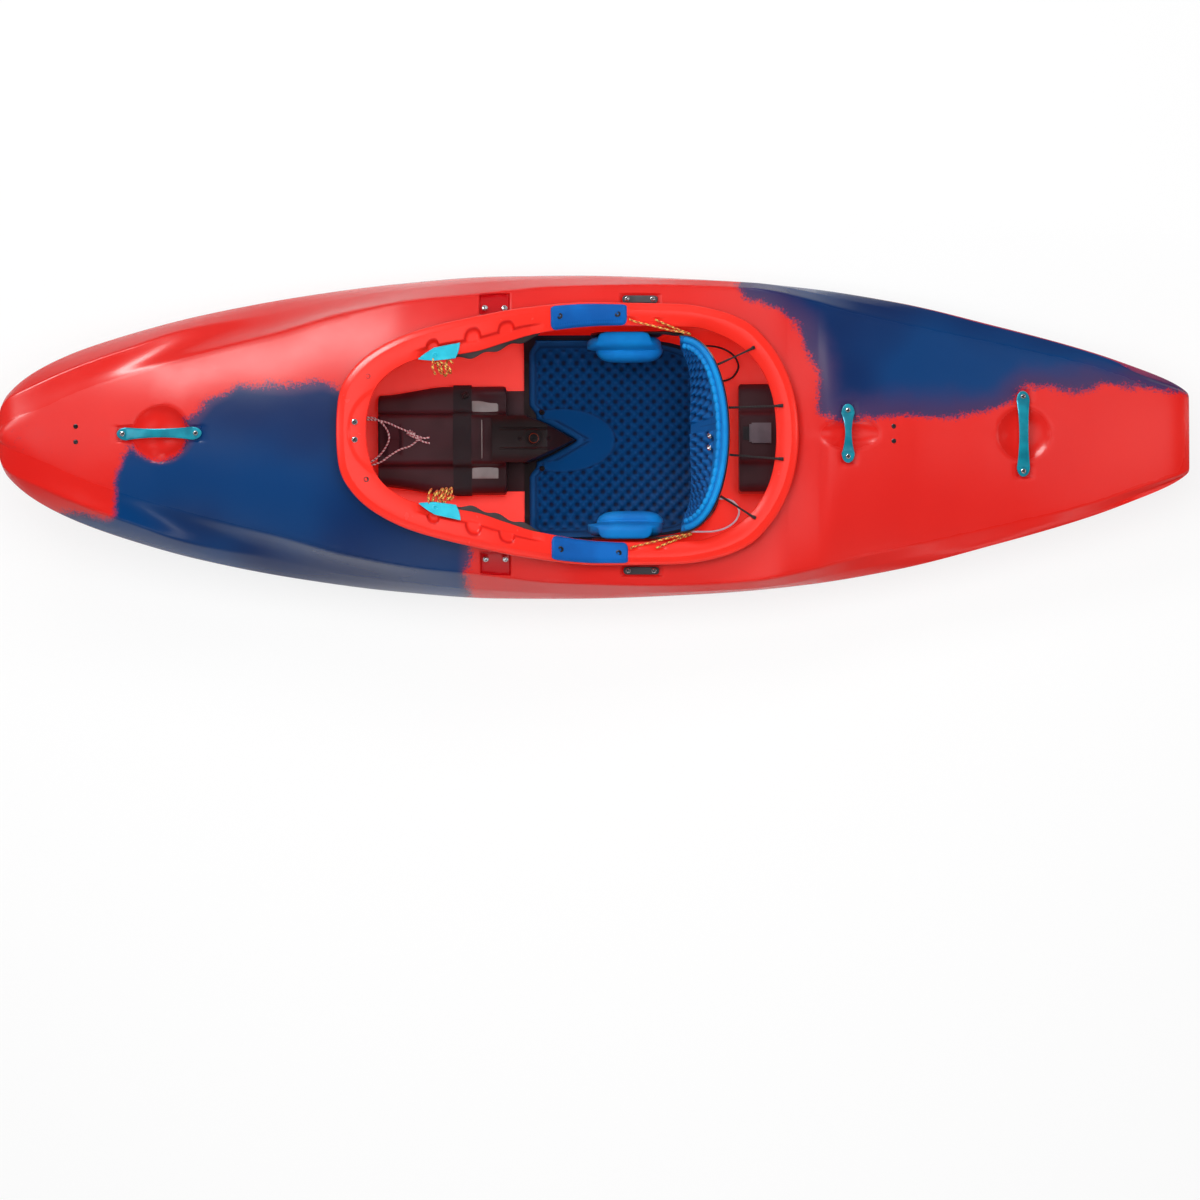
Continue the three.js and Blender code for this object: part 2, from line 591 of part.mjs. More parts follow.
function signedVolume(positions, faces) {
  const [a, b, c] = [new THREE.Vector3(), new THREE.Vector3(), new THREE.Vector3()];
  let volume = 0;
  for (let i = 0; i < faces.length; i += 3) {
    a.fromArray(positions, faces[i] * 3);
    b.fromArray(positions, faces[i + 1] * 3);
    c.fromArray(positions, faces[i + 2] * 3);
    volume += a.dot(b.cross(c));
  }
  return volume;
}

// Joins closed rings of points into one solid, with a fan over each end
function loft(rings) {
  const skin = new Skin();
  const closed = rings.map(ring => [...ring, ring[0]]);
  skin.sheet(closed);
  const middle = ring => [0, 1, 2].map(axis => ring.reduce((sum, point) => sum + point[axis], 0) / ring.length);
  const first = closed[0];
  const last = closed[closed.length - 1];
  skin.fan(middle(rings[0]), [...first].reverse());
  skin.fan(middle(rings[rings.length - 1]), last);
  return skin.geometry();
}

// A slab between a lower and an upper row of points at each station, with a strip over each end
function slab(rows) {
  const skin = new Skin();
  skin.sheet(rows.map(([lower, upper]) => [...lower, ...[...upper].reverse(), lower[0]]));
  const [lower, upper] = rows[0];
  skin.sheet([upper, lower]);
  skin.sheet(rows[rows.length - 1]);
  return skin.geometry();
}

const kayak = new THREE.Group();
function add(name, geometry, material) {
  const mesh = new THREE.Mesh(geometry, material);
  mesh.name = name;
  kayak.add(mesh);
  return mesh;
}
const SIDES = [['starboard', 1], ['port', -1]];

// Moves a row of points off its own surface, in the upright plane of the row
function offRow(row, distance) {
  return row.map((point, i) => {
    const before = row[Math.max(i - 1, 0)];
    const after = row[Math.min(i + 1, row.length - 1)];
    const level = [after[0] - before[0], after[1] - before[1]];
    const run = Math.hypot(...level) || 1;
    const rise = after[2] - before[2];
    const length = Math.hypot(run, rise);
    return [
      point[0] - level[0] / run * rise / length * distance,
      point[1] - level[1] / run * rise / length * distance,
      point[2] + run / length * distance,
    ];
  });
}

// The rim's own facets at any place along them; the place is read on the lip or on the opening's edge
const LIP = { front: RIM_FRONT_X, length: RIM_LENGTH };
const OPENING = { front: OPENING_FRONT_X, length: OPENING_LENGTH };
function facetRim(x, outline) {
  const sweep = sweepOf((x - outline.front) / outline.length);
  const place = sweep * COCKPIT_STATIONS;
  const before = rimSection(Math.floor(place) / COCKPIT_STATIONS);
  const after = rimSection(Math.min(Math.floor(place) + 1, COCKPIT_STATIONS) / COCKPIT_STATIONS);
  const part = place - Math.floor(place);
  return before.map((point, i) => point.map((value, axis) => mix(value, after[i][axis], part)));
}
function rimPlaces(from, to, outline) {
  const places = [from];
  for (let i = 0; i <= COCKPIT_STATIONS; i++) {
    const x = outline.front + outline.length * shareOfSweep(i / COCKPIT_STATIONS);
    if (x > from + RIM_ROUND && x < to - RIM_ROUND) places.push(x);
  }
  return [...places, to];
}
const mirrorRows = (rows, side) => rows.map(pair => pair.map(row => row.map(([x, y, z]) => [x, y * side, z])));

function hullShell() {
  const skin = new Skin();
  const outer = STATIONS.map(x => section(x).map(([y, z]) => [x, y, z]));
  const inner = STATIONS.map(x => innerSection(x).map(([y, z]) => [insideOf(x), y, z]));
  const rim = [];
  for (let i = COCKPIT_START; i <= COCKPIT_END; i++) {
    const ring = rimSection((i - COCKPIT_START) / COCKPIT_STATIONS);
    ring[0] = outer[i][outer[i].length - 1];
    ring[ring.length - 1] = inner[i][inner[i].length - 1];
    rim.push(ring);
  }
  skin.sheet(outer);
  skin.sheet(rim);
  skin.sheet(inner.map(row => [...row].reverse()));
  const centre = row => [row[0][0], 0, (row[0][2] + row[row.length - 1][2]) / 2];
  const [bow, stern, tail] = [inner[0], inner[inner.length - 1], outer[outer.length - 1]];
  skin.fan(centre(tail), tail);
  skin.fan(centre(bow), bow);
  skin.fan(centre(stern), [...stern].reverse());
  add('hull_shell', skin.mirrored().geometry(), COLOURS.hull());
}

// A button-head bolt, turned so that its head stands along a direction
const BOLT_SIDES = 10;
function bolt(name, place, outwards, radius, material) {
  const profile = [
    new THREE.Vector2(0, 0),
    new THREE.Vector2(radius, 0),
    new THREE.Vector2(radius, BOLT_HEAD_HEIGHT * 0.45),
    new THREE.Vector2(radius * 0.65, BOLT_HEAD_HEIGHT),
    new THREE.Vector2(0, BOLT_HEAD_HEIGHT),
  ];
  const mesh = add(name, new THREE.LatheGeometry(profile, BOLT_SIDES), material);
  mesh.position.set(...place);
  mesh.quaternion.setFromUnitVectors(new THREE.Vector3(0, 1, 0), outwards.clone().normalize());
  return mesh;
}
function surfaceBolt(name, heightAt, x, y, radius, material = COLOURS.steel()) {
  const outwards = new THREE.Vector3(
    heightAt(x - radius, y) - heightAt(x + radius, y),
    heightAt(x, y - radius) - heightAt(x, y + radius),
    2 * radius,
  ).normalize();
  const place = new THREE.Vector3(x, y, heightAt(x, y)).addScaledVector(outwards, CURVE_GAP);
  bolt(name, place.toArray(), outwards, radius, material);
}

// A bowed bar between two feet on the deck; the direction is 0 along the hull and 1 across it
const HANDLE_STEPS = 14;
function handle(name, x, length, footWidth, waist, across) {
  const rings = [];
  const reach = length / 2;
  const placeAt = along => (across ? [x, along] : [x + along, 0]);
  const foot = along => {
    const [px, py] = placeAt(along);
    const side = footWidth / 2;
    const corners = across ? [[px - side, py], [px + side, py]] : [[px, -side], [px, side]];
    return Math.max(...corners.map(([cx, cy]) => deckHeight(cx, cy)), deckHeight(px, py)) + CURVE_GAP;
  };
  const inner = reach - HANDLE_FOOT;
  for (let i = 0; i <= HANDLE_STEPS; i++) {
    const along = -reach * Math.cos(Math.PI * i / HANDLE_STEPS);
    const part = clamp((along + inner) / (2 * inner), 0, 1);
    const bow = Math.sin(Math.PI * part) ** 0.8;
    const onFoot = Math.abs(along) >= inner;
    const arch = mix(foot(-inner), foot(inner), part) + HANDLE_RISE * bow;
    const base = onFoot ? foot(along) : Math.max(arch, foot(along));
    const roundEnd = Math.sqrt(1 - clamp((Math.abs(along) - inner) / HANDLE_FOOT, 0, 0.95) ** 2);
    const half = mix(footWidth, waist, bow) / 2 * roundEnd;
    const chamfer = HANDLE_THICKNESS / 4;
    const outline = [
      [-half + chamfer, 0], [half - chamfer, 0], [half, chamfer], [half, HANDLE_THICKNESS - chamfer],
      [half - chamfer, HANDLE_THICKNESS], [-half + chamfer, HANDLE_THICKNESS],
      [-half, HANDLE_THICKNESS - chamfer], [-half, chamfer],
    ];
    const [px, py] = placeAt(along);
    rings.push(outline.map(([side, up]) => (across ? [px + side, py, base + up] : [px, py + side, base + up])));
  }
  add(name, loft(rings), COLOURS.teal());
  return along => foot(along) + HANDLE_THICKNESS + CURVE_GAP;
}
function handleBolts(name, x, spacing, across, topAt) {
  const ends = [[across ? 'port' : 'front', -spacing / 2], [across ? 'starboard' : 'rear', spacing / 2]];
  for (const [end, along] of ends) {
    const place = across ? [x, along] : [x + along, 0];
    const ahead = topAt(along + HANDLE_BOLT_RADIUS);
    const behind = topAt(along - HANDLE_BOLT_RADIUS);
    const height = Math.max(ahead, behind, topAt(along));
    bolt(`${name}_${end}`, [...place, height], new THREE.Vector3(0, 0, 1), HANDLE_BOLT_RADIUS, COLOURS.steel());
  }
}
function handles() {
  const bowTop = handle('bow_handle', BOW_HANDLE_X, BOW_HANDLE_LENGTH, BOW_HANDLE_FOOT_WIDTH, BOW_HANDLE_WAIST, 0);
  handleBolts('bow_handle_bolt', BOW_HANDLE_X, BOW_HANDLE_BOLTS, 0, bowTop);
  const midTop = handle('security_handle', SECURITY_HANDLE_X, SECURITY_HANDLE_LENGTH,
    SECURITY_HANDLE_FOOT_WIDTH, SECURITY_HANDLE_WAIST, 1);
  handleBolts('security_handle_bolt', SECURITY_HANDLE_X, SECURITY_HANDLE_BOLTS, 1, midTop);
  const sternTop = handle('stern_handle', STERN_HANDLE_X, STERN_HANDLE_LENGTH,
    STERN_HANDLE_FOOT_WIDTH, STERN_HANDLE_WAIST, 1);
  handleBolts('stern_handle_bolt', STERN_HANDLE_X, STERN_HANDLE_BOLTS, 1, sternTop);
}

// Bolts that hold the thigh braces, the rim's front and the footrest rails
function hullBolts() {
  for (const [word, side] of SIDES) {
    for (const [end, along] of [['front', -1], ['rear', 1]]) {
      const x = THIGH_BOLT_X + along * THIGH_BOLT_SPACING / 2;
      surfaceBolt(`thigh_brace_bolt_${word}_${end}`, deckHeight, x, side * THIGH_BOLT_Y, BOLT_HEAD_RADIUS);
    }
    const rows = [
      ['front', FOOTREST_BOLT_FRONT_X, FOOTREST_BOLT_FRONT_Z],
      ['rear', FOOTREST_BOLT_REAR_X, FOOTREST_BOLT_REAR_Z],
    ];
    for (const [end, x, z] of rows) {
      const reach = FOOTREST_BOLT_RADIUS;
      const outwards = new THREE.Vector3(
        sideWidth(x - reach, z) - sideWidth(x + reach, z),
        2 * reach,
        sideWidth(x, z - reach) - sideWidth(x, z + reach),
      ).normalize();
      const place = new THREE.Vector3(x, sideWidth(x, z), z).addScaledVector(outwards, CURVE_GAP + SEAT_GAP);
      outwards.y *= side;
      const name = `footrest_bolt_${word}_${end}`;
      bolt(name, [place.x, place.y * side, place.z], outwards, reach, COLOURS.steel());
    }
    surfaceBolt(`rim_bolt_${word}`, rimHeight, RIM_BOLT_X, side * RIM_BOLT_SPACING / 2, BOLT_HEAD_RADIUS);
  }
}

// Pads, tabs and braces that follow the rim's own facets on both sides
function flangePoint(ring, part) {
  const parts = [0, 0.4, 0.8, 1];
  const next = clamp(parts.findIndex(limit => limit > part), 1, parts.length - 1);
  const share = (part - parts[next - 1]) / (parts[next] - parts[next - 1]);
  const [from, to] = [ring[RIM_COLUMNS.crest + next - 1], ring[RIM_COLUMNS.crest + next]];
  return from.map((value, axis) => mix(value, to[axis], share));
}
function rimPieces() {
  const pad = rimPlaces(RIM_PAD_FRONT_X, RIM_PAD_REAR_X, LIP).map(x => {
    const row = facetRim(x, LIP).slice(RIM_COLUMNS.crest - 1, RIM_COLUMNS.edge + 1);
    return [offRow(row, CURVE_GAP), offRow(row, CURVE_GAP + RIM_PAD_THICKNESS)];
  });
  const length = PULL_TAB_REAR_X - PULL_TAB_FRONT_X;
  const places = [PULL_TAB_FRONT_X + length / 3, ...rimPlaces(PULL_TAB_FRONT_X, PULL_TAB_REAR_X, OPENING)];
  const tab = places.sort((a, b) => a - b).map(x => {
    const open = clamp((x - PULL_TAB_FRONT_X) / length * 3, 0.1, 1);
    const ring = facetRim(x, OPENING);
    const row = [flangePoint(ring, 0.8 - 0.36 * open), flangePoint(ring, 0.8), flangePoint(ring, 0.8 + 0.2 * open)];
    return [offRow(row, CURVE_GAP), offRow(row, CURVE_GAP + PULL_TAB_THICKNESS)];
  });
  const brace = rimPlaces(THIGH_BRACE_FRONT_X, THIGH_BRACE_REAR_X, OPENING).map(x => {
    const ring = facetRim(x, OPENING);
    const [edge, under, wall] = [ring[RIM_COLUMNS.edge + 1], ring[RIM_COLUMNS.under], ring[RIM_COLUMNS.under + 1]];
    const outer = under.map((value, axis) => mix(value, wall[axis], 0.6));
    const proud = edge.map((value, axis) => (axis < 2 ? mix(under[axis], value, 2) : value));
    const row = [proud, edge, under, outer];
    return [offRow(row, -CURVE_GAP - THIGH_BRACE_THICKNESS), offRow(row, -CURVE_GAP)];
  });
  for (const [word, side] of SIDES) {
    add(`rim_pad_${word}`, slab(mirrorRows(pad, side)), COLOURS.blue());
    add(`pull_tab_${word}`, slab(mirrorRows(tab, side)), COLOURS.tab());
    add(`thigh_brace_${word}`, slab(mirrorRows(brace, side)), COLOURS.black());
  }
}

// Plates on the deck beside the rim, where the seat's sides are bolted
function sidePlates() {
  const half = SIDE_PLATE_LENGTH / 2;
  const shoulder = HALF_BEAM * shoulderWidthAt(shareOf(SIDE_PLATE_X));
  const middle = mix(wallHalfWidth(SIDE_PLATE_X), shoulder, SIDE_PLATE_PLACE);
  const rows = stationsBetween(SIDE_PLATE_X - half, SIDE_PLATE_X + half).map(x => {
    const row = [-0.5, 0, 0.5].map(part => {
      const y = middle - part * SIDE_PLATE_WIDTH;
      return [x, y, deckHeight(x, y)];
    });
    return [offRow(row, CURVE_GAP), offRow(row, CURVE_GAP + SIDE_PLATE_THICKNESS)];
  });
  for (const [word, side] of SIDES) add(`seat_side_plate_${word}`, slab(mirrorRows(rows, side)), COLOURS.grey());
}

// Upper outline of a console with a raised ridge, from one side to the other, moved out by a distance
function consoleTop(width, shelf, ridgeWidth, ridgeTop, away = 0) {
  const half = [
    [width / 2 + away, shelf - CONSOLE_CHAMFER],
    [width / 2 - CONSOLE_CHAMFER + away, shelf + away],
    [ridgeWidth / 2 + CONSOLE_CHAMFER / 2 + away, shelf + away],
    [ridgeWidth / 2 + away, ridgeTop - CONSOLE_CHAMFER / 3 + away],
    [ridgeWidth / 2 - CONSOLE_CHAMFER / 2, ridgeTop + away],
  ];
  return [...half.map(([y, z]) => [-y, z]), ...[...half].reverse()];
}
function floorUnder(x, reach) {
  return Math.max(...[0, 0.5, 1].map(part => floorHeight(x, reach * part))) + CURVE_GAP;
}
function consoleSolid(from, to, width, topOutline) {
  return loft(stationsBetween(from, to).map(x => {
    const bottom = floorUnder(x, width / 2);
    const outline = [...topOutline, [width / 2, bottom], [-width / 2, bottom]];
    return outline.map(([y, z]) => [x, y, z]);
  }));
}
function consoles() {
  const front = consoleTop(CONSOLE_WIDTH, CONSOLE_SHELF, CONSOLE_RIDGE_WIDTH, CONSOLE_RIDGE_TOP);
  add('front_console', consoleSolid(CONSOLE_FRONT_X, CONSOLE_REAR_X, CONSOLE_WIDTH, front), COLOURS.black());
  const strapRow = (x, away) => {
    const top = consoleTop(CONSOLE_WIDTH, CONSOLE_SHELF, CONSOLE_RIDGE_WIDTH, CONSOLE_RIDGE_TOP, away);
    const foot = CONSOLE_WIDTH / 2 + away;
    const bottom = floorUnder(x, foot + STRAP_THICKNESS);
    return [[-foot, bottom], ...top, [foot, bottom]].map(([y, z]) => [x, y, z]);
  };
  const strap = [STRAP_X - STRAP_WIDTH / 2, STRAP_X + STRAP_WIDTH / 2].map(x => (
    [strapRow(x, CURVE_GAP), strapRow(x, CURVE_GAP + STRAP_THICKNESS)]));
  add('console_strap', slab(strap), COLOURS.black());
  const rear = consoleTop(REAR_CONSOLE_WIDTH, REAR_CONSOLE_TOP - CONSOLE_CHAMFER, CONSOLE_RIDGE_WIDTH, REAR_CONSOLE_TOP);
  add('rear_console', consoleSolid(REAR_CONSOLE_FRONT_X, REAR_CONSOLE_REAR_X, REAR_CONSOLE_WIDTH, rear), COLOURS.black());
}

// Seat pan: flat in the middle, with wings that rise at the sides
const SEAT_ROWS = 16;
const panPlace = i => -SEAT_WIDTH / 2 * Math.cos(Math.PI * i / SEAT_ROWS);
const PAN_PLACES = Array.from({ length: SEAT_ROWS + 1 }, (_, i) => panPlace(i));
function wingCurve(y) {
  const beyond = clamp((Math.abs(y) - SEAT_FLAT_WIDTH / 2) / (SEAT_WIDTH - SEAT_FLAT_WIDTH) * 2, 0, 1);
  return SEAT_WING_RISE * beyond ** 1.5;
}
const SEAT_BASE = Math.max(...[SEAT_FRONT_X - SEAT_TRAVEL, SEAT_REAR_X + SEAT_TRAVEL].flatMap(x => PAN_PLACES.map(y => (
  floorHeight(x, y) + CURVE_GAP - wingCurve(y)))));
function wingRise(y) {
  const next = clamp(PAN_PLACES.filter(place => place <= y).length, 1, SEAT_ROWS);
  const [low, high] = [PAN_PLACES[next - 1], PAN_PLACES[next]];
  return mix(wingCurve(low), wingCurve(high), (y - low) / (high - low));
}
function seatRear(y, width) {
  const reach = clamp(Math.abs(y) / (width / 2), 0, 0.985);
  return mix(SEAT_FRONT_X, SEAT_REAR_X, (1 - reach ** 5) ** 0.2);
}
function tongueEdge(y, away = 0) {
  const half = TONGUE_WIDTH / 2 + away;
  const reach = clamp(1 - Math.abs(y) / half, 0, 1);
  return mix(SEAT_FRONT_X, TONGUE_TIP_X + away, reach ** 0.8);
}
function seatRows(width, frontAt, rearAt, lift, thickness, crown) {
  const rows = [];
  const within = PAN_PLACES.filter(y => Math.abs(y) < width / 2 - SEAT_WALL);
  for (const y of [-width / 2, ...within, width / 2]) {
    const low = SEAT_BASE + wingRise(y) + lift;
    const [front, rear] = [frontAt(y), rearAt(y)];
    const row = part => [mix(front, rear, part), y];
    rows.push([
      [0, 0.04, 0.96, 1].map(part => [...row(part), low + (part === 0 || part === 1 ? crown : 0)]),
      [0, 0.04, 0.96, 1].map(part => [...row(part), low + thickness - (part === 0 || part === 1 ? crown : 0)]),
    ]);
  }
  return rows;
}
const TONGUE_ROWS = 10;
const tongueTopAt = x => {
  const slope = clamp((x - KNOB_X - 2 * KNOB_RADIUS) / (TONGUE_TIP_X - KNOB_X - 2 * KNOB_RADIUS), 0, 1);
  return mix(TONGUE_TOP, TONGUE_TIP_TOP, slope);
};
function seat() {
  const pan = seatRows(SEAT_WIDTH, () => SEAT_FRONT_X, y => seatRear(y, SEAT_WIDTH), 0, SEAT_WALL, 0);
  add('seat_pan', slab(pan), COLOURS.black());
  const padFront = y => Math.max(SEAT_FRONT_X + SEAT_PAD_INSET, tongueEdge(y, NOTCH_GAP));
  const padRear = y => seatRear(y, SEAT_PAD_WIDTH) - SEAT_PAD_INSET;
  const lift = SEAT_WALL + SEAT_GAP;
  const pad = seatRows(SEAT_PAD_WIDTH, padFront, padRear, lift, SEAT_PAD_THICKNESS, SEAT_PAD_THICKNESS / 5);
  add('seat_pad', slab(pad), COLOURS.blue());
  const underFront = CONSOLE_RIDGE_TOP + SEAT_GAP;
  const underRear = SEAT_BASE + SEAT_WALL + SEAT_GAP;
  const rows = [];
  for (let i = 0; i <= TONGUE_ROWS; i++) {
    const y = -TONGUE_WIDTH / 2 * Math.cos(Math.PI * i / TONGUE_ROWS);
    const tip = tongueEdge(y);
    const round = TONGUE_WALL * (2 * y / TONGUE_WIDTH) ** 4;
    const places = [TONGUE_FRONT_X, SEAT_FRONT_X + SEAT_GAP, SEAT_FRONT_X + TONGUE_WALL];
    const beyond = [1 / 3, 2 / 3, 1].map(part => mix(places[2], Math.max(tip, places[2] + TONGUE_WALL), part));
    const lower = [[places[0], underFront], [places[1], underFront], [places[2], underRear]];
    rows.push([
      [...lower, ...beyond.map(x => [x, underRear])].map(([x, z]) => [x, y, z]),
      [...places, ...beyond].map(x => [x, y, tongueTopAt(x) - round]),
    ]);
  }
  add('seat_tongue', slab(rows), COLOURS.black());
  bolt('seat_knob', [KNOB_X, 0, TONGUE_TOP + SEAT_GAP], new THREE.Vector3(0, 0, 1), KNOB_RADIUS, COLOURS.blackSteel())
    .scale.y = KNOB_HEIGHT / BOLT_HEAD_HEIGHT;
}

// Hip brackets stand on the seat's wings, carry the hip pads and end in lugs that hold the backband's ends
const HIP_STEPS = 6;
function hips() {
  const wingTop = SEAT_BASE + SEAT_WING_RISE + SEAT_WALL + SEAT_GAP;
  const outer = SEAT_WIDTH / 2;
  const length = HIP_REAR_X - HIP_FRONT_X;
  for (const [word, side] of SIDES) {
    const lugY = BAND_HALF_WIDTH + BAND_SHELL + 2 * SEAT_GAP;
    const bracket = [];
    const plate = (x, bottom, top, inner) => {
      const outside = Math.max(outer, inner + HIP_BRACKET_WALL);
      bracket.push([inner, outside].map(y => [[x, side * y, bottom], [x, side * y, top]]));
    };
    const pad = [];
    for (let i = 0; i <= HIP_STEPS; i++) {
      const share = i / HIP_STEPS;
      const x = mix(HIP_FRONT_X, HIP_REAR_X, share);
      const full = Math.sqrt(1 - Math.min(Math.abs(2 * share - 1), 0.97) ** 4);
      const rise = share < 0.5 ? full : 1;
      const top = mix(wingTop + HIP_PAD_THICKNESS / 2, HIP_BRACKET_TOP, rise);
      plate(x, wingTop, top, outer - HIP_BRACKET_WALL);
      const inside = outer - HIP_BRACKET_WALL - SEAT_GAP;
      const depth = HIP_PAD_THICKNESS * mix(0.55, 1, full) * mix(0.8, 1, share);
      const middle = (HIP_PAD_TOP + HIP_PAD_BOTTOM) / 2;
      const tall = (HIP_PAD_TOP - HIP_PAD_BOTTOM) / 2 * mix(0.6, 1, full);
      const px = mix(HIP_FRONT_X + length / 20, HIP_REAR_X - length / 20, share);
      pad.push([
        [px, side * inside, middle - tall], [px, side * (inside - depth * 0.6), middle - tall],
        [px, side * (inside - depth), middle - tall / 2], [px, side * (inside - depth), middle + tall / 2],
        [px, side * (inside - depth * 0.6), middle + tall], [px, side * inside, middle + tall],
      ]);
    }
    plate(HIP_REAR_X + PIVOT_LUG, PIVOT_HEIGHT - 2 * PIVOT_LUG, PIVOT_HEIGHT + PIVOT_LUG, outer - HIP_BRACKET_WALL);
    plate(BAND_END_X - PIVOT_LUG, PIVOT_HEIGHT - PIVOT_LUG, PIVOT_HEIGHT + PIVOT_LUG, lugY);
    plate(BAND_END_X, PIVOT_HEIGHT - PIVOT_LUG, PIVOT_HEIGHT + PIVOT_LUG, lugY);
    plate(BAND_END_X + PIVOT_LUG, PIVOT_HEIGHT - PIVOT_LUG / 2, PIVOT_HEIGHT + PIVOT_LUG / 2, lugY);
    add(`hip_bracket_${word}`, slab(bracket), COLOURS.black());
    add(`hip_pad_${word}`, loft(pad), COLOURS.blue());
  }
}

// Backband: a foam band on a thin shell, bent round the back of the seat
const BAND_STEPS = 14;
function bandRow(angle, away) {
  const y = (BAND_HALF_WIDTH + away) * Math.cos(angle);
  const x = BAND_END_X + (BAND_REAR_X - BAND_END_X + away) * Math.sin(angle) ** 0.9;
  return [x, y];
}
function bandSlab(from, to, topInset) {
  const rows = [];
  for (let i = 0; i <= BAND_STEPS; i++) {
    const angle = Math.PI * i / BAND_STEPS;
    const full = Math.sin(angle);
    const top = mix(BAND_END_TOP, BAND_TOP, Math.min(full * 1.5, 1)) - topInset;
    const bottom = mix(BAND_END_BOTTOM, BAND_BOTTOM, full) + topInset;
    const [inner, outer] = [bandRow(angle, from), bandRow(angle, to)];
    const middle = mix(bottom, top, 0.5);
    rows.push([inner, outer].map(place => [bottom, middle, top].map(z => [...place, z])));
  }
  return slab(rows);
}
function backband() {
  add('backband_foam', bandSlab(-BAND_FOAM, 0, 0), COLOURS.blue());
  add('backband_shell', bandSlab(SEAT_GAP, SEAT_GAP + BAND_SHELL, BAND_SHELL), COLOURS.black());
}

// Webbing with a side-release buckle on the rear console
const acrossHull = new THREE.Matrix4().makeBasis(
  new THREE.Vector3(0, 1, 0), new THREE.Vector3(0, 0, 1), new THREE.Vector3(1, 0, 0));
const rectangle = (x0, y0, x1, y1) => new THREE.Shape([
  new THREE.Vector2(x0, y0), new THREE.Vector2(x1, y0), new THREE.Vector2(x1, y1), new THREE.Vector2(x0, y1)]);
function buckle() {
  const base = REAR_CONSOLE_TOP + SEAT_GAP;
  const webbing = new THREE.BoxGeometry(WEBBING_REAR_X - WEBBING_FRONT_X, WEBBING_WIDTH, WEBBING_THICKNESS);
  const strap = add('buckle_webbing', webbing, COLOURS.black());
  strap.position.set((WEBBING_REAR_X + WEBBING_FRONT_X) / 2, BUCKLE_Y, base + WEBBING_THICKNESS / 2);
  const bodyBase = base + WEBBING_THICKNESS + SEAT_GAP;
  const sleeve = rectangle(-BUCKLE_WIDTH / 2, 0, BUCKLE_WIDTH / 2, BUCKLE_HEIGHT);
  const wall = BUCKLE_HEIGHT / 4;
  sleeve.holes.push(rectangle(-BUCKLE_WIDTH / 2 + wall, wall, BUCKLE_WIDTH / 2 - wall, BUCKLE_HEIGHT - wall));
  const bodyGeometry = new THREE.ExtrudeGeometry(sleeve, { depth: BUCKLE_LENGTH, bevelEnabled: false });
  const body = add('buckle_body', bodyGeometry.applyMatrix4(acrossHull), COLOURS.black());
  body.position.set(WEBBING_REAR_X - BUCKLE_LENGTH, BUCKLE_Y, bodyBase);
  const half = BUCKLE_WIDTH / 2 - wall - SEAT_GAP;
  const arm = BUCKLE_WIDTH / 8;
  const fork = new THREE.Shape([
    [0, -half], [PRONG_LENGTH, -half], [PRONG_LENGTH, -half + arm], [arm, -half + arm], [arm, -arm / 2],
    [PRONG_LENGTH, -arm / 2], [PRONG_LENGTH, arm / 2], [arm, arm / 2], [arm, half - arm],
    [PRONG_LENGTH, half - arm], [PRONG_LENGTH, half], [0, half],
  ].map(([x, y]) => new THREE.Vector2(x, y)));
  const prongDepth = BUCKLE_HEIGHT - 2 * wall - 2 * SEAT_GAP;
  const prongGeometry = new THREE.ExtrudeGeometry(fork, { depth: prongDepth, bevelEnabled: false });
  const prong = add('buckle_prong', prongGeometry, COLOURS.black());
  prong.position.set(WEBBING_REAR_X - BUCKLE_LENGTH - arm, BUCKLE_Y, bodyBase + wall + SEAT_GAP);
}

// Footrest plate between two rails that are bolted to the hull's sides
const RAIL_FRONT_X = FOOTREST_BOLT_FRONT_X - RAIL_OVERRUN;
const RAIL_REAR_X = FOOTREST_BOLT_REAR_X + RAIL_OVERRUN;
const railHeightAt = x => mix(FOOTREST_BOLT_FRONT_Z, FOOTREST_BOLT_REAR_Z,
  (x - FOOTREST_BOLT_FRONT_X) / (FOOTREST_BOLT_REAR_X - FOOTREST_BOLT_FRONT_X));
const RAIL_INNER_Y = innerSideWidth(RAIL_FRONT_X, railHeightAt(RAIL_FRONT_X) - RAIL_HEIGHT / 2) - RAIL_WIDTH;
const PLATE_STEPS = 8;
function footrest() {
  const rings = stationsBetween(RAIL_FRONT_X, RAIL_REAR_X).map(x => {
    const [low, high] = [railHeightAt(x) - RAIL_HEIGHT / 2, railHeightAt(x) + RAIL_HEIGHT / 2];
    return [
      [x, RAIL_INNER_Y, low], [x, innerSideWidth(x, low) - RAIL_GAP, low],
      [x, innerSideWidth(x, high) - RAIL_GAP, high], [x, RAIL_INNER_Y, high],
    ];
  });
  for (const [word, side] of SIDES) {
    const turned = rings.map(ring => ring.map(([x, y, z]) => [x, y * side, z]));
    add(`footrest_rail_${word}`, loft(turned), COLOURS.black());
  }
  const narrow = FOOTREST_X - FOOTREST_TRAVEL;
  const low = floorHeight(narrow, 0) + 2 * FOOTREST_SIDE_GAP;
  const halfAt = z => Math.min(RAIL_INNER_Y - SEAT_GAP, innerSideWidth(narrow, z) - FOOTREST_SIDE_GAP);
  const rightSide = [];
  for (let i = 0; i <= PLATE_STEPS; i++) {
    const z = mix(low, FOOTREST_HEIGHT, i / PLATE_STEPS);
    rightSide.push(new THREE.Vector2(halfAt(z) - FOOTREST_SIDE_GAP * (i === 0 || i === PLATE_STEPS), z));
  }
  const leftSide = [...rightSide].reverse().map(point => new THREE.Vector2(-point.x, point.y));
  const plate = new THREE.ExtrudeGeometry(new THREE.Shape([...rightSide, ...leftSide]),
    { depth: FOOTREST_THICKNESS, bevelEnabled: false });
  add('footrest_plate', plate.applyMatrix4(acrossHull), COLOURS.black()).position.x = FOOTREST_X;
}

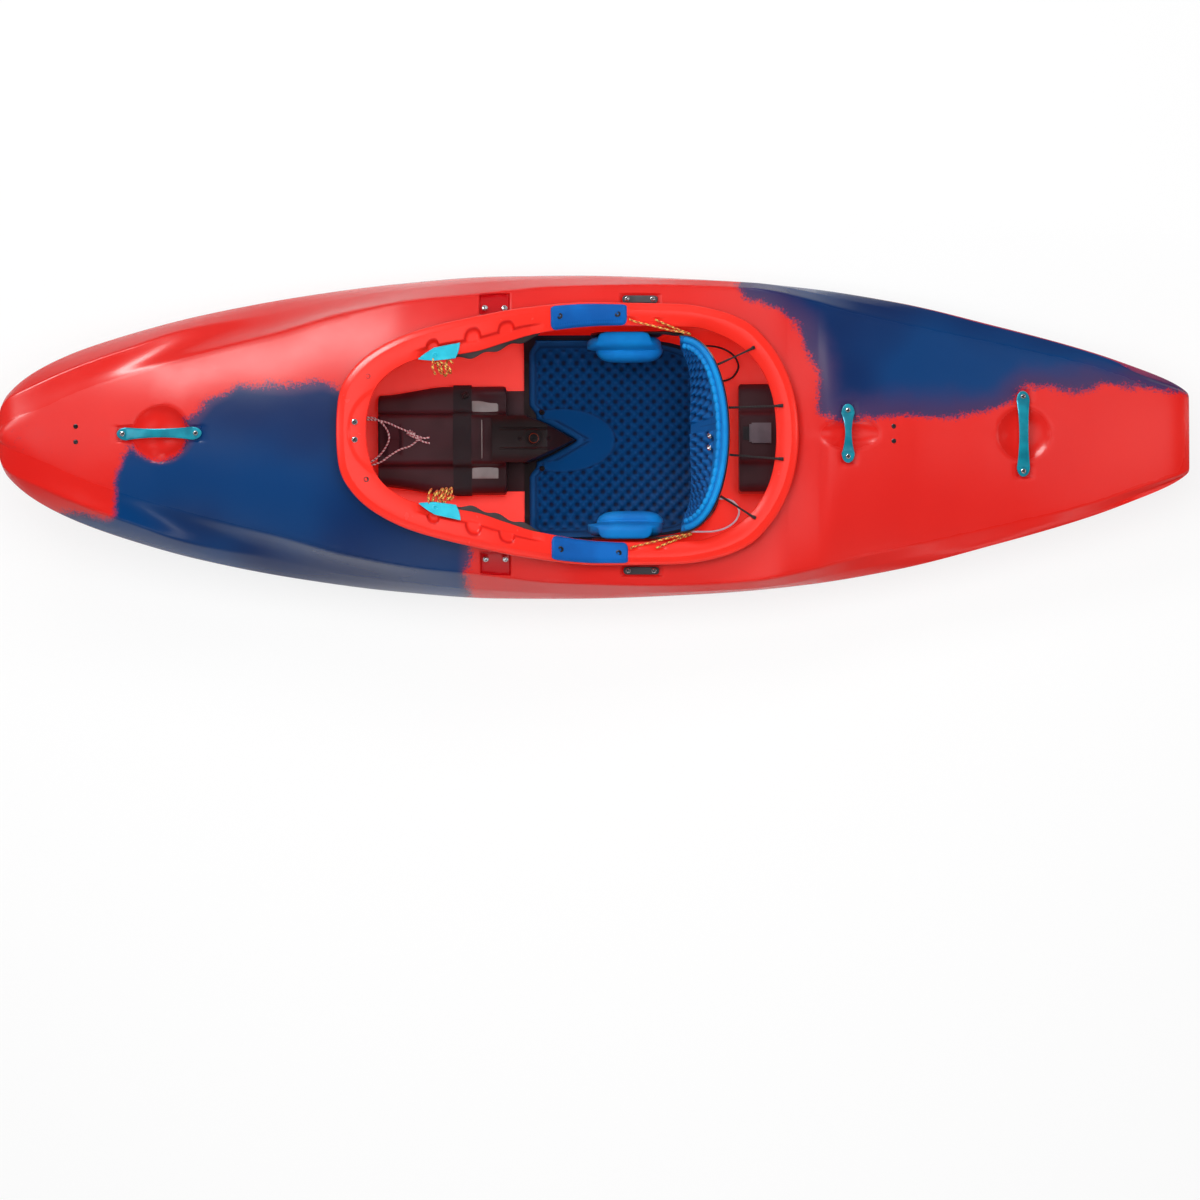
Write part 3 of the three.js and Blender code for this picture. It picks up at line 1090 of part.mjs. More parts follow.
// Foam pillars that hold the deck up inside both ends; from a dish on, they stay as low as the dish's underside
function pillars() {
  const across = [-0.5, -0.25, 0, 0.25, 0.5].map(part => part * PILLAR_WIDTH);
  const around = [-1, 0, 1].map(part => part * PILLAR_CLEARANCE);
  const under = (x, y) => Math.min(...around.flatMap(dx => around.map(dy => ceilingHeight(x + dx, y + dy))));
  const pillar = (name, from, to, dishX, dishRadius) => {
    const lowest = under(dishX, 0);
    const topAt = (x, y) => (x < dishX - dishRadius ? under(x, y) : Math.min(under(x, y), lowest));
    const rows = stationsBetween(from, to).map(x => [
      across.map(y => [x, y, floorHeight(x, y) + CURVE_GAP]),
      across.map(y => [x, y, topAt(x, y) - CURVE_GAP]),
    ]);
    add(name, slab(rows), COLOURS.foam());
  };
  pillar('bow_pillar', BOW_PILLAR_FRONT_X, BOW_PILLAR_REAR_X, BOW_DISH_X, BOW_DISH_RADIUS);
  pillar('stern_pillar', STERN_PILLAR_FRONT_X, STERN_PILLAR_REAR_X, STERN_DISH_X, STERN_DISH_RADIUS);
}

// A closed tube along a curve through the points of a route
const CORD_SIDES = 8;
function tube(name, points, diameter, material) {
  const curve = new THREE.CatmullRomCurve3(points.map(point => new THREE.Vector3(...point)), false, 'centripetal');
  const ring = Array.from({ length: CORD_SIDES }, (_, i) => {
    const angle = 2 * Math.PI * i / CORD_SIDES;
    return new THREE.Vector2(diameter / 2 * Math.cos(angle), diameter / 2 * Math.sin(angle));
  });
  const steps = Math.ceil(curve.getLength() / CORD_STEP);
  const options = { steps, extrudePath: curve, bevelEnabled: false };
  add(name, new THREE.ExtrudeGeometry(new THREE.Shape(ring), options), material);
}

// Elastic cords from the backband's shell to the rim's rear, lying on the rim at their far ends
const BUNGEE_ROUTES = [
  ['bungee_starboard_outer', [[237.4, 134.2, 250], [272, 150, 246], [309, 168, 230]]],
  ['bungee_starboard_inner', [[258.4, 49.8, 252], [310, 52, 246], [364, 54, 230]]],
  ['bungee_port_inner', [[259.2, -42, 252], [310, -46, 246], [364, -50, 230]]],
  ['bungee_port_outer', [[241.4, -122.2, 250], [276, -144, 246], [309, -165, 230]]],
];
// One side's adjusting cord: from the rim round the backband's end and back to the rim
const ADJUSTING_ROUTE = [
  [67, 222, 245], [80, 218, 245], [95, 213.5, 245], [110, 209, 246], [125, 205.5, 246], [142, 201.5, 246],
  [163, 198.5, 245], [178, 196.5, 242], [184, 195.5, 234], [178, 197, 226], [165, 198.5, 226],
  [152, 200, 234], [143, 203, 243], [136, 208, 244], [128, 215, 244], [120, 221, 244],
];
// One side's drag loop behind the seat
const DRAG_ROUTE = [
  [245.6, 117, 17.5], [258, 118, 26], [274, 126, 42], [283, 144, 54], [276, 162, 61], [258, 176, 63],
  [236, 183, 63], [210, 184.5, 62], [187, 184, 60],
];
// Grab cord: from the footrest plate over the front console to its knot, and back
const GRAB_ROUTE = [
  [-495, 36, 104], [-470, 38, 98], [-440, 38.7, 92], [-415, 34, 90.5], [-392, 24, 90.5], [-370, 14, 90.5],
  [-352, 2, 90.5], [-366, -12, 90.5], [-388, -20, 90.5], [-408, -32, 90.5], [-425, -44, 90.5],
  [-440, -50, 93], [-470, -52, 98], [-495, -50, 104],
];
function cords() {
  const onRim = radius => ([x, y, z]) => {
    const around = [-radius, 0, radius];
    const under = Math.max(...around.map(dy => rimHeight(x, Math.abs(y) + dy)));
    return [x, y, Math.max(z, under + radius + SEAT_GAP)];
  };
  for (const [name, route] of BUNGEE_ROUTES) {
    tube(name, route.map(onRim(BUNGEE_DIAMETER / 2)), BUNGEE_DIAMETER, COLOURS.bungee());
  }
  for (const [word, side] of SIDES) {
    const across = route => route.map(([x, y, z]) => [x, y * side, z]);
    const adjusting = across(ADJUSTING_ROUTE.map(onRim(CORD_DIAMETER / 2)));
    tube(`adjusting_cord_${word}`, adjusting, CORD_DIAMETER, COLOURS.orangeCord());
    tube(`drag_loop_${word}`, across(DRAG_ROUTE), CORD_DIAMETER, COLOURS.paleCord());
  }
  tube('grab_cord', GRAB_ROUTE, GRAB_DIAMETER, COLOURS.paleCord());
}

// The spare cord below a pull tab, wound in loops round an axis along the hull
const LOOP_STEPS = 24;
const LOOP_SIDES = 6;
function bundleRoute(startX, loops) {
  const [, edgeY, edgeZ] = facetRim(startX - CORD_DIAMETER / 2, OPENING)[RIM_COLUMNS.edge];
  const top = edgeZ + CORD_DIAMETER / 2;
  const route = [[startX, edgeY - SEAT_GAP, top], [startX, edgeY - SEAT_GAP - CORD_DIAMETER, top]];
  for (let i = 0; i <= LOOP_STEPS * loops; i++) {
    const turn = i / LOOP_STEPS;
    const angle = 2 * Math.PI * turn;
    const y = BUNDLE_CENTRE_Y - BUNDLE_RADIUS * Math.sin(angle);
    route.push([startX + BUNDLE_PITCH * turn, y, top - BUNDLE_RADIUS * (1 - Math.cos(angle))]);
  }
  return route.map(point => new THREE.Vector3(...point));
}
function leastGap(route) {
  let least = Infinity;
  for (let i = 0; i < route.length; i++) {
    for (let j = i + LOOP_STEPS / 2; j < route.length; j++) least = Math.min(least, route[i].distanceTo(route[j]));
  }
  return least - CORD_DIAMETER;
}
function bundle(name, route, side) {
  const up = new THREE.Vector3(1, 0, 0);
  const rings = route.map((point, i) => {
    const along = route[Math.min(i + 1, route.length - 1)].clone().sub(route[Math.max(i - 1, 0)]).normalize();
    const across = along.clone().cross(up).normalize();
    const over = across.clone().cross(along);
    return Array.from({ length: LOOP_SIDES }, (_, k) => {
      const angle = 2 * Math.PI * k / LOOP_SIDES;
      const place = point.clone().addScaledVector(across, CORD_DIAMETER / 2 * Math.cos(angle))
        .addScaledVector(over, CORD_DIAMETER / 2 * Math.sin(angle));
      return [place.x, place.y * side, place.z];
    });
  });
  add(name, loft(rings), COLOURS.orangeCord());
}
function bundles() {
  const wound = [['starboard', 1, BUNDLE_STARBOARD_X, 4], ['port', -1, BUNDLE_PORT_X, 5]];
  for (const [word, side, startX, loops] of wound) {
    const route = bundleRoute(startX, loops);
    console.log(`cord_bundle_${word}: least gap to itself ${leastGap(route).toFixed(2)} mm`);
    bundle(`cord_bundle_${word}`, route, side);
  }
}

hullShell();
handles();
hullBolts();
rimPieces();
sidePlates();
consoles();
seat();
hips();
backband();
buckle();
footrest();
pillars();
cords();
bundles();

export default kayak;
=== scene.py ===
import json
import math
import bmesh
import bpy
import numpy as np
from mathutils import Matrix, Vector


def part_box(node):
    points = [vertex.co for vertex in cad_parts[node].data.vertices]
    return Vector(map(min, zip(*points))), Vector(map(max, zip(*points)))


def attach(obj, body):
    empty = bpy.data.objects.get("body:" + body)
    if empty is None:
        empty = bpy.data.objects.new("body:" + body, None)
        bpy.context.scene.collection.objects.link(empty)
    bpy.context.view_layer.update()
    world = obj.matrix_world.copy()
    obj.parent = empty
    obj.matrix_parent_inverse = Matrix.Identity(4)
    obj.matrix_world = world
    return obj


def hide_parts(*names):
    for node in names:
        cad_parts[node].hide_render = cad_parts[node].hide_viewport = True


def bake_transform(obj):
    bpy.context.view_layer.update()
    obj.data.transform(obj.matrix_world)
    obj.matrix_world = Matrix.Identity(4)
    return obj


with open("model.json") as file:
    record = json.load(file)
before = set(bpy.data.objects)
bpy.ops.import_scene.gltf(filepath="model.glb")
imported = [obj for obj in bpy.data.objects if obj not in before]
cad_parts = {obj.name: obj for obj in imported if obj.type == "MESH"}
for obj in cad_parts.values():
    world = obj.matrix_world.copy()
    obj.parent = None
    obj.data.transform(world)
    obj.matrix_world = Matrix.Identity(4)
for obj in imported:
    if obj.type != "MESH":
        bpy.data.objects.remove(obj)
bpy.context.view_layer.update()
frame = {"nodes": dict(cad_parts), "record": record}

# Shapes are worked out in millimetres, bow towards -X, and put into the meshes in metres
MM = 0.001

# The hull's main sizes and share tables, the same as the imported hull's
LENGTH, BEAM, DECK_TOP, WALL = 2320, 637, 352, 6
RIM_LENGTH, RIM_WIDTH, RIM_FRONT, OVERHANG = 894, 512, -499, 20
LIP_HEIGHT, LIP_ROUND, CREST, SLOPE = 19, 5, 14, 9
OPENING_LENGTH, OPENING_WIDTH, OPENING_FRONT = 793, 422, -442
BOW_SOLID, STERN_SOLID = 45, 120
DISHES = [(-840, 114, 114, 20), (495, 122, 63, 13), (837, 108, 108, 15)]

BEAM_SHARES = [
    (0, 0), (0.0055, 0.215), (0.0139, 0.294), (0.0307, 0.393), (0.0644, 0.521), (0.1065, 0.632), (0.165, 0.752),
    (0.25, 0.874), (0.334, 0.954), (0.418, 0.997), (0.481, 1), (0.586, 0.975), (0.67, 0.926), (0.755, 0.828),
    (0.839, 0.675), (0.923, 0.497), (0.957, 0.405), (0.983, 0.325), (0.996, 0.267), (1, 0.227)]
KEEL_SHARES = [
    (0, 0.858), (0.0017, 0.807), (0.0084, 0.746), (0.0253, 0.635), (0.0421, 0.54), (0.0758, 0.402),
    (0.1264, 0.2415), (0.2022, 0.088), (0.2864, 0.017), (0.3707, 0), (0.5644, 0), (0.6234, 0.017),
    (0.7077, 0.077), (0.7919, 0.17), (0.8762, 0.3025), (0.9436, 0.425), (0.9857, 0.497), (1, 0.528)]
CHINE_HEIGHTS = [
    (0, 0.858), (0.0084, 0.775), (0.0371, 0.6), (0.0657, 0.5), (0.1272, 0.335), (0.2131, 0.2), (0.2536, 0.15),
    (0.3008, 0.082), (0.3454, 0.047), (0.3825, 0.033), (0.4844, 0.022), (0.5383, 0.028), (0.5922, 0.05),
    (0.6512, 0.078), (0.6959, 0.128), (0.7919, 0.225), (0.8762, 0.335), (0.9436, 0.442), (1, 0.533)]
CHINE_WIDTHS = [(0, 0.6), (0.1, 0.55), (0.2, 0.6), (0.3, 0.66), (0.5, 0.68), (0.7, 0.72), (0.9, 0.8), (1, 0.85)]
CREASE_HEIGHTS = [
    (0, 0.858), (0.0051, 0.793), (0.0371, 0.658), (0.0657, 0.614), (0.0817, 0.572), (0.1272, 0.476),
    (0.1719, 0.408), (0.2174, 0.361), (0.2468, 0.35), (0.3454, 0.305), (0.497, 0.262), (0.6487, 0.245),
    (0.716, 0.26), (0.7843, 0.3), (0.8517, 0.355), (0.92, 0.43), (0.97, 0.5), (1, 0.54)]
CREASE_WIDTHS = [(0, 0.97), (0.1, 0.965), (0.2, 0.95), (0.3, 0.93), (0.5, 0.92), (1, 0.92)]
SEAM_HEIGHTS = [
    (0, 0.858), (0.0051, 0.82), (0.0211, 0.784), (0.0657, 0.682), (0.0927, 0.619), (0.1272, 0.5625),
    (0.1719, 0.505), (0.2174, 0.463), (0.262, 0.439), (0.3454, 0.409), (0.497, 0.403), (0.6487, 0.369),
    (0.716, 0.375), (0.7843, 0.403), (0.8517, 0.432), (0.92, 0.48), (0.97, 0.525), (1, 0.545)]
FLANK_WIDTHS = [
    (0, 0), (0.0055, 0.19), (0.0307, 0.3), (0.0627, 0.405), (0.1099, 0.534), (0.1545, 0.648), (0.189, 0.702),
    (0.2226, 0.744), (0.29, 0.85), (0.35, 0.91), (0.4634, 0.965), (0.55, 0.965), (0.63, 0.945), (0.7125, 0.84),
    (0.7546, 0.775), (0.8388, 0.63), (0.923, 0.462), (0.957, 0.375), (0.983, 0.305), (1, 0.222)]
FLANK_HEIGHTS = [
    (0, 0.858), (0.02, 0.87), (0.0627, 0.86), (0.1099, 0.798), (0.185, 0.659), (0.2712, 0.6), (0.36, 0.6),
    (0.46, 0.53), (0.54, 0.49), (0.65, 0.48), (0.7161, 0.44), (0.8062, 0.437), (0.8972, 0.483), (0.9419, 0.51),
    (1, 0.548)]
SHOULDER_WIDTHS = [
    (0, 0), (0.0055, 0.06), (0.0198, 0.115), (0.0375, 0.165), (0.0644, 0.255), (0.1099, 0.377), (0.1772, 0.515),
    (0.2336, 0.62), (0.29, 0.736), (0.3506, 0.819), (0.4053, 0.86), (0.4634, 0.908), (0.55, 0.925), (0.63, 0.9),
    (0.67, 0.85), (0.7125, 0.77), (0.7546, 0.7), (0.8388, 0.57), (0.923, 0.42), (0.9567, 0.34), (0.983, 0.28),
    (1, 0.215)]
SHOULDER_HEIGHTS = [
    (0, 0.858), (0.0055, 0.895), (0.02, 0.905), (0.0644, 0.885), (0.1099, 0.847), (0.1422, 0.83), (0.2174, 0.818),
    (0.2712, 0.835), (0.3286, 0.83), (0.3589, 0.801), (0.4179, 0.724), (0.4634, 0.658), (0.5072, 0.616),
    (0.5417, 0.585), (0.5906, 0.5525), (0.6226, 0.5625), (0.6487, 0.585), (0.6824, 0.54), (0.7161, 0.503),
    (0.7616, 0.478), (0.8062, 0.463), (0.8517, 0.472), (0.8972, 0.505), (0.9419, 0.534), (0.9874, 0.565),
    (1, 0.551)]
DECK_HEIGHTS = [
    (0, 0.858), (0.0017, 0.896), (0.0084, 0.923), (0.0253, 0.923), (0.0421, 0.912), (0.1011, 0.906),
    (0.1264, 0.909), (0.16, 0.946), (0.2022, 0.952), (0.2443, 0.98), (0.2847, 1), (0.3286, 1.028),
    (0.3707, 1.023), (0.4128, 0.994), (0.4549, 0.895), (0.497, 0.733), (0.5392, 0.642), (0.5813, 0.608),
    (0.6234, 0.585), (0.6622, 0.577), (0.6756, 0.582), (0.6984, 0.656), (0.7245, 0.635), (0.7498, 0.607),
    (0.775, 0.574), (0.8003, 0.557), (0.834, 0.54), (0.8762, 0.534), (0.9183, 0.54), (0.9436, 0.551),
    (0.9688, 0.568), (0.9857, 0.58), (0.9941, 0.575), (1, 0.557)]
RIM_HEIGHTS = [
    (0.285, 1.111), (0.299, 1.1), (0.35, 1.043), (0.404, 0.974), (0.457, 0.866), (0.498, 0.77), (0.538, 0.716),
    (0.592, 0.69), (0.671, 0.682)]
LIP_OUTLINE = [
    (0, 0), (0.0514, 0.275), (0.1114, 0.443), (0.1775, 0.595), (0.2545, 0.733), (0.3163, 0.813), (0.3711, 0.874),
    (0.432, 0.939), (0.54, 1), (0.6564, 0.992), (0.725, 0.943), (0.7843, 0.85), (0.8359, 0.7), (0.897, 0.473),
    (0.9407, 0.285), (1, 0)]
OPENING_OUTLINE = [
    (0, 0), (0.0838, 0.338), (0.1231, 0.455), (0.1692, 0.56), (0.2283, 0.655), (0.3064, 0.704), (0.3468, 0.74),
    (0.3946, 0.824), (0.4449, 0.91), (0.5409, 0.99), (0.5857, 1), (0.7032, 0.985), (0.7614, 0.91),
    (0.8339, 0.741), (0.9074, 0.48), (0.9682, 0.19), (1, 0)]

HALF_LENGTH, HALF_BEAM = LENGTH / 2, BEAM / 2
RIM_REAR = RIM_FRONT + RIM_LENGTH
WALL_FRONT, WALL_REAR = RIM_FRONT + OVERHANG, RIM_REAR - OVERHANG


def mix(first, second, share):
    return first + (second - first) * share


def ease(value, low, high):
    """From 0 at low to 1 at high, level at both ends"""
    share = np.clip((value - low) / (high - low), 0, 1)
    return share * share * (3 - 2 * share)


def sweep_of(share):
    """A share of a length as a share of a half turn, so that round ends get close points"""
    return np.arccos(np.clip(1 - 2 * np.asarray(share, float), -1, 1)) / np.pi


def share_of_sweep(sweep):
    return (1 - np.cos(np.pi * np.asarray(sweep, float))) / 2


def bell(value, middle, width):
    """A bell of height 1 over the middle"""
    return np.exp(-((value - middle) / width) ** 2)


def edge_roll(gap, radius):
    """A quarter circle: 0 at an edge, and 1 from a radius away from it"""
    return np.sqrt(1 - (1 - np.clip(gap / radius, 0, 1)) ** 2)


def column(first, last, count):
    return np.linspace(first, last, count)[:, None]


def row(first, last, count):
    return np.linspace(first, last, count)[None, :]


def full_turn(count):
    """Angles of the points of a closed ring"""
    return np.linspace(0, 2 * np.pi, count, endpoint=False)


def field(*parts):
    """Points from their coordinates, which are numbers or arrays that fit each other"""
    return np.stack(np.broadcast_arrays(*parts), -1)


def at_places(x, rows):
    """Rows of [y, z] points with their place along the hull put in front"""
    return field(x[:, None], rows[..., 0], rows[..., 1])


def run_along(path):
    """The way along a path up to each of its points"""
    return np.r_[0, np.cumsum(np.linalg.norm(np.diff(path, axis=0), axis=1))]


def curve_through(pairs, warp=np.asarray):
    """A cubic through the pairs that never swings past them: its slopes are harmonic means of both sides"""
    at, value = warp(np.array(pairs)[:, 0]), np.array(pairs)[:, 1]
    step = np.diff(value) / np.diff(at)
    product, total = step[:-1] * step[1:], step[:-1] + step[1:]
    inner = np.where(product > 0, 2 * product / np.where(total == 0, 1, total), 0)
    slope = np.concatenate([step[:1], inner, step[-1:]])

    def read(share):
        place = np.clip(warp(share), at[0], at[-1])
        k = np.clip(np.searchsorted(at, place, side="right") - 1, 0, len(at) - 2)
        span = at[k + 1] - at[k]
        t = (place - at[k]) / span
        rest = 1 - t
        level = value[k] * rest * rest * (1 + 2 * t) + value[k + 1] * t * t * (3 - 2 * t)
        return level + span * t * rest * (slope[k] * rest - slope[k + 1] * t)

    return read


def along_hull(pairs):
    return curve_through(pairs, sweep_of)


beam_at, keel_at = along_hull(BEAM_SHARES), along_hull(KEEL_SHARES)
chine_height_at, chine_width_at = along_hull(CHINE_HEIGHTS), along_hull(CHINE_WIDTHS)
crease_height_at, crease_width_at = along_hull(CREASE_HEIGHTS), along_hull(CREASE_WIDTHS)
seam_at = along_hull(SEAM_HEIGHTS)
flank_width_at, flank_height_at = along_hull(FLANK_WIDTHS), along_hull(FLANK_HEIGHTS)
shoulder_width_at, shoulder_height_at = along_hull(SHOULDER_WIDTHS), along_hull(SHOULDER_HEIGHTS)
deck_at = along_hull(DECK_HEIGHTS)
rim_at, lip_outline, opening_outline = map(curve_through, (RIM_HEIGHTS, LIP_OUTLINE, OPENING_OUTLINE))


def share_of(x):
    return np.clip((np.asarray(x, float) + HALF_LENGTH) / LENGTH, 0, 1)


def wall_half_width(x):
    """Half the width of the rim's wall where it meets the deck, zero ahead of and behind the cockpit"""
    share = (np.asarray(x, float) - WALL_FRONT) / (WALL_REAR - WALL_FRONT)
    inside = (share > 0) & (share < 1)
    return np.where(inside, (RIM_WIDTH / 2 - OVERHANG) * lip_outline(sweep_of(share)), 0)


def soft_box(x, y, centre, half, edge):
    """1 inside a rectangle, falling to 0 over its edge's width"""
    side = np.abs(x - centre[0]) - half[0]
    top = np.abs(y - centre[1]) - half[1]
    return (1 - ease(side, -edge, 0)) * (1 - ease(top, -edge, 0))


def rim_top(x):
    return DECK_TOP * rim_at(share_of(x))


def crest_width(sweep):
    """Half the width of the rim at the crest of its lip"""
    return (RIM_WIDTH / 2 - CREST) * lip_outline(sweep)


def opening_width(sweep):
    return OPENING_WIDTH / 2 * opening_outline(sweep)


# Pockets in the deck: centre, half size, depth and width of the edge. Those off the centre line are on both sides
POCKETS = [((-909, 0), (21, 18), 3, 4), ((-771, 0), (17, 18), 3, 4), ((491, 47), (19, 15), 3, 4),
           ((836, 74), (19, 15), 3, 4), ((-196, 252), (31, 24), 9, 5), ((87, 265), (41, 13), 3, 4)]


def deck_sink(x, y, pockets=True):
    """How far dishes and pockets sink the deck: a bowl falls by its depth times 1 less the cube of the reach"""
    sink = np.zeros(np.broadcast(x, y).shape)
    for middle, length, width, depth in DISHES:
        reach = np.hypot((x - middle) / (length / 2), y / (width / 2))
        sink = sink + depth * np.clip(1 - reach ** 3, 0, 1)
    for centre, half, depth, edge in POCKETS if pockets else ():
        sink = np.maximum(sink, depth * soft_box(x, np.abs(y), centre, half, edge))
    return sink


def deck_height(x, y):
    """Height of the deck: a parabola from the shoulder up to the middle, less dishes and pockets"""
    share = share_of(x)
    width = np.maximum(HALF_BEAM * shoulder_width_at(share), 1e-6)
    edge, top = DECK_TOP * shoulder_height_at(share), DECK_TOP * deck_at(share)
    return edge + (top - edge) * (1 - np.clip(np.abs(y) / width, 0, 1) ** 2) - deck_sink(x, y)


def hull_guides(x):
    """The ten guide points of half a section at each place, keel to shoulder, as [place, point, (y, z)]"""
    share = share_of(x)
    beam, keel = HALF_BEAM * beam_at(share), DECK_TOP * keel_at(share)
    chine = (beam * chine_width_at(share), np.maximum(DECK_TOP * chine_height_at(share), keel))
    crease = (beam * crease_width_at(share), DECK_TOP * crease_height_at(share))
    seam = (beam, DECK_TOP * seam_at(share))
    flank = (np.minimum(HALF_BEAM * flank_width_at(share), beam), DECK_TOP * flank_height_at(share))
    shoulder = (HALF_BEAM * shoulder_width_at(share), DECK_TOP * shoulder_height_at(share))
    full = beam / HALF_BEAM
    dip = 6 * np.sin(np.pi * np.clip(share / 0.36, 0, 1)) * full
    bulge = (mix(chine[0], crease[0], 0.55) + 5 * full, mix(chine[1], crease[1], 0.45))
    upper = (mix(seam[0], flank[0], 0.4), mix(seam[1], flank[1], 0.5))
    channel = (mix(flank[0], shoulder[0], 0.5) - dip, mix(flank[1], shoulder[1], 0.5) - dip / 2)
    points = [(0 * beam, keel), (chine[0] * 0.6, keel), chine, bulge, crease, seam, upper, flank, channel,
              shoulder]
    return np.stack([field(*point) for point in points], 1)


def rounded(points, rounds, steps):
    """Each inner corner of a chain of points becomes a quadratic curve; it starts and ends a share of the way
    along the corner's two sides"""
    rows = [points[:, :1]]
    for i in range(1, points.shape[1] - 1):
        back, corner, ahead = points[:, i - 1], points[:, i], points[:, i + 1]
        start, end = mix(corner, back, rounds[i]), mix(corner, ahead, rounds[i])
        t = np.linspace(0, 1, steps[i])[None, :, None]
        rows.append((1 - t) ** 2 * start[:, None] + 2 * t * (1 - t) * corner[:, None] + t * t * end[:, None])
    rows.append(points[:, -1:])
    return np.concatenate(rows, 1)


# How round each guide point is, and how many points its curve gets
SECTION_ROUNDS = [0, 0.5, 0.3, 0.5, 0.14, 0.12, 0.5, 0.16, 0.5, 0.22, 0]
SECTION_STEPS = [0, 5, 7, 7, 7, 5, 7, 7, 9, 7, 0]


def outer_half(x, columns):
    """Half of the outer skin at each place: rounded guide points, then the deck in to the cockpit or middle"""
    guides = hull_guides(x)
    inner = wall_half_width(x)
    width = guides[:, -1, 0]
    first = mix(width, inner, 0.2)
    start = np.stack([first, deck_height(x, first)], -1)[:, None]
    side = rounded(np.concatenate([guides, start], 1), SECTION_ROUNDS, SECTION_STEPS)[:, :-1]
    reach = mix(0.06, 1, np.linspace(0, 1, columns))
    y = width[:, None] + (inner - width)[:, None] * reach
    deck = np.stack([y, deck_height(x[:, None], y)], -1)
    return np.concatenate([side, deck], 1)


def inward(rows, distance):
    """Moves each row of [y, z] points inwards by a distance, square to the row"""
    before, after = np.roll(rows, 1, 1), np.roll(rows, -1, 1)
    before[:, 0], after[:, -1] = rows[:, 0], rows[:, -1]
    run = after - before
    length = np.maximum(np.linalg.norm(run, axis=-1, keepdims=True), 1e-9)
    moved = rows + distance * np.stack([-run[..., 1], run[..., 0]], -1) / length
    moved[:, 0] = rows[:, 0] + [0, distance]
    moved[:, -1] = rows[:, -1] - [0, distance]
    moved[..., 0] = np.maximum(moved[..., 0], 0)
    return moved


# Meshes

def grid_faces(rows, columns, offset=0, ring=False):
    i, j = np.meshgrid(np.arange(rows - 1), np.arange(columns if ring else columns - 1), indexing="ij")
    ahead = (j + 1) % columns
    corners = [i * columns + j, i * columns + ahead, (i + 1) * columns + ahead, (i + 1) * columns + j]
    return (np.stack(corners, -1).reshape(-1, 4) + offset).tolist()


def sheet(grid):
    """A grid of points as one sheet of quads"""
    grid = np.asarray(grid, float)
    return grid.reshape(-1, 3), grid_faces(*grid.shape[:2])


def loft(rings):
    """Rings of points along a piece, each closed on itself, with a fan over each end"""
    rings = np.asarray(rings, float)
    n, m = rings.shape[:2]
    faces = grid_faces(n, m, ring=True)
    around = np.arange(m)
    ahead = (around + 1) % m
    low, high = np.full(m, n * m), np.full(m, n * m + 1)
    faces += np.stack([low, ahead, around], -1).tolist()
    faces += np.stack([high, (n - 1) * m + around, (n - 1) * m + ahead], -1).tolist()
    return np.concatenate([rings.reshape(-1, 3), rings[[0, -1]].mean(axis=1)]), faces


def join(parts):
    """Several parts as one set of points and faces"""
    points, faces, offset = [], [], 0
    for part_points, part_faces in parts:
        points.append(part_points)
        faces += [[corner + offset for corner in face] for face in part_faces]
        offset += len(part_points)
    return np.concatenate(points), faces


def mirrored(part, side):
    """The part on starboard for side 1, and its mirror image on port for side -1"""
    points, faces = part
    return (points, faces) if side > 0 else (points * [1, -1, 1], [face[::-1] for face in faces])


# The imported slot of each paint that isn't called after its slot
SLOT_OF = {
    "shaded_pad_foam": "blue_foam", "band_foam": "blue_foam", "lit_top_foam": "blue_foam", "hip_foam": "blue_foam",
    "console": "black_plastic", "glossy": "black_plastic", "satin": "black_plastic", "copper": "dark_metal"}


def piece(name, parts, paint, body, smooth=38, attributes=None, uv=None, slot=None, node=None):
    """Puts closed parts, in millimetres, into one object that rides on a body. Doubles are merged and faces
    turned out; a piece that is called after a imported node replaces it"""
    points, faces = join(parts)
    mesh = bpy.data.meshes.new(name)
    mesh.from_pydata((points * MM).tolist(), [], faces)
    for key, values in (attributes or {}).items():
        mesh.attributes.new(key, "FLOAT", "POINT").data.foreach_set("value", np.asarray(values, np.float32))
    if uv is not None:
        corner = np.empty(len(mesh.loops), np.int32)
        mesh.loops.foreach_get("vertex_index", corner)
        mesh.uv_layers.new(name="run").data.foreach_set("uv", np.asarray(uv, np.float32)[corner].ravel())
    work = bmesh.new()
    work.from_mesh(mesh)
    bmesh.ops.remove_doubles(work, verts=work.verts, dist=2e-6)
    bmesh.ops.dissolve_degenerate(work, edges=work.edges, dist=1e-7)
    bmesh.ops.recalc_face_normals(work, faces=work.faces)
    work.to_mesh(mesh)
    work.free()
    thing = bpy.data.objects.new(f"{name}_form" if name in frame["nodes"] else name, mesh)
    bpy.context.scene.collection.objects.link(thing)
    mesh.materials.append(PAINTS[paint])
    mesh.shade_smooth()
    if smooth < 180:
        mesh.set_sharp_from_angle(angle=math.radians(smooth))
    if body:
        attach(thing, body)
    slot or SLOT_OF.get(paint, paint)
    if name in frame["nodes"] or node:
        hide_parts(node or name)
    return thing


def cosine(count):
    """Places from 0 to 1, close together at both ends"""
    return share_of_sweep(np.linspace(0, 1, count + 1))


# Paints

def rgb(red, green, blue):
    """A colour of 0 to 255 as the linear colour that a shader takes"""
    share = np.array([red, green, blue]) / 255
    linear = np.where(share <= 0.04045, share / 12.92, ((share + 0.055) / 1.055) ** 2.4)
    return (*linear.tolist(), 1.0)


class Value:
    """What a node gives; operators add Math nodes"""

    def __init__(self, nodes, socket):
        self.nodes, self.socket = nodes, socket

    def __add__(self, other):
        return self.nodes.maths("ADD", self, other)

    def __sub__(self, other):
        return self.nodes.maths("SUBTRACT", self, other)

    def __mul__(self, other):
        return self.nodes.maths("MULTIPLY", self, other)


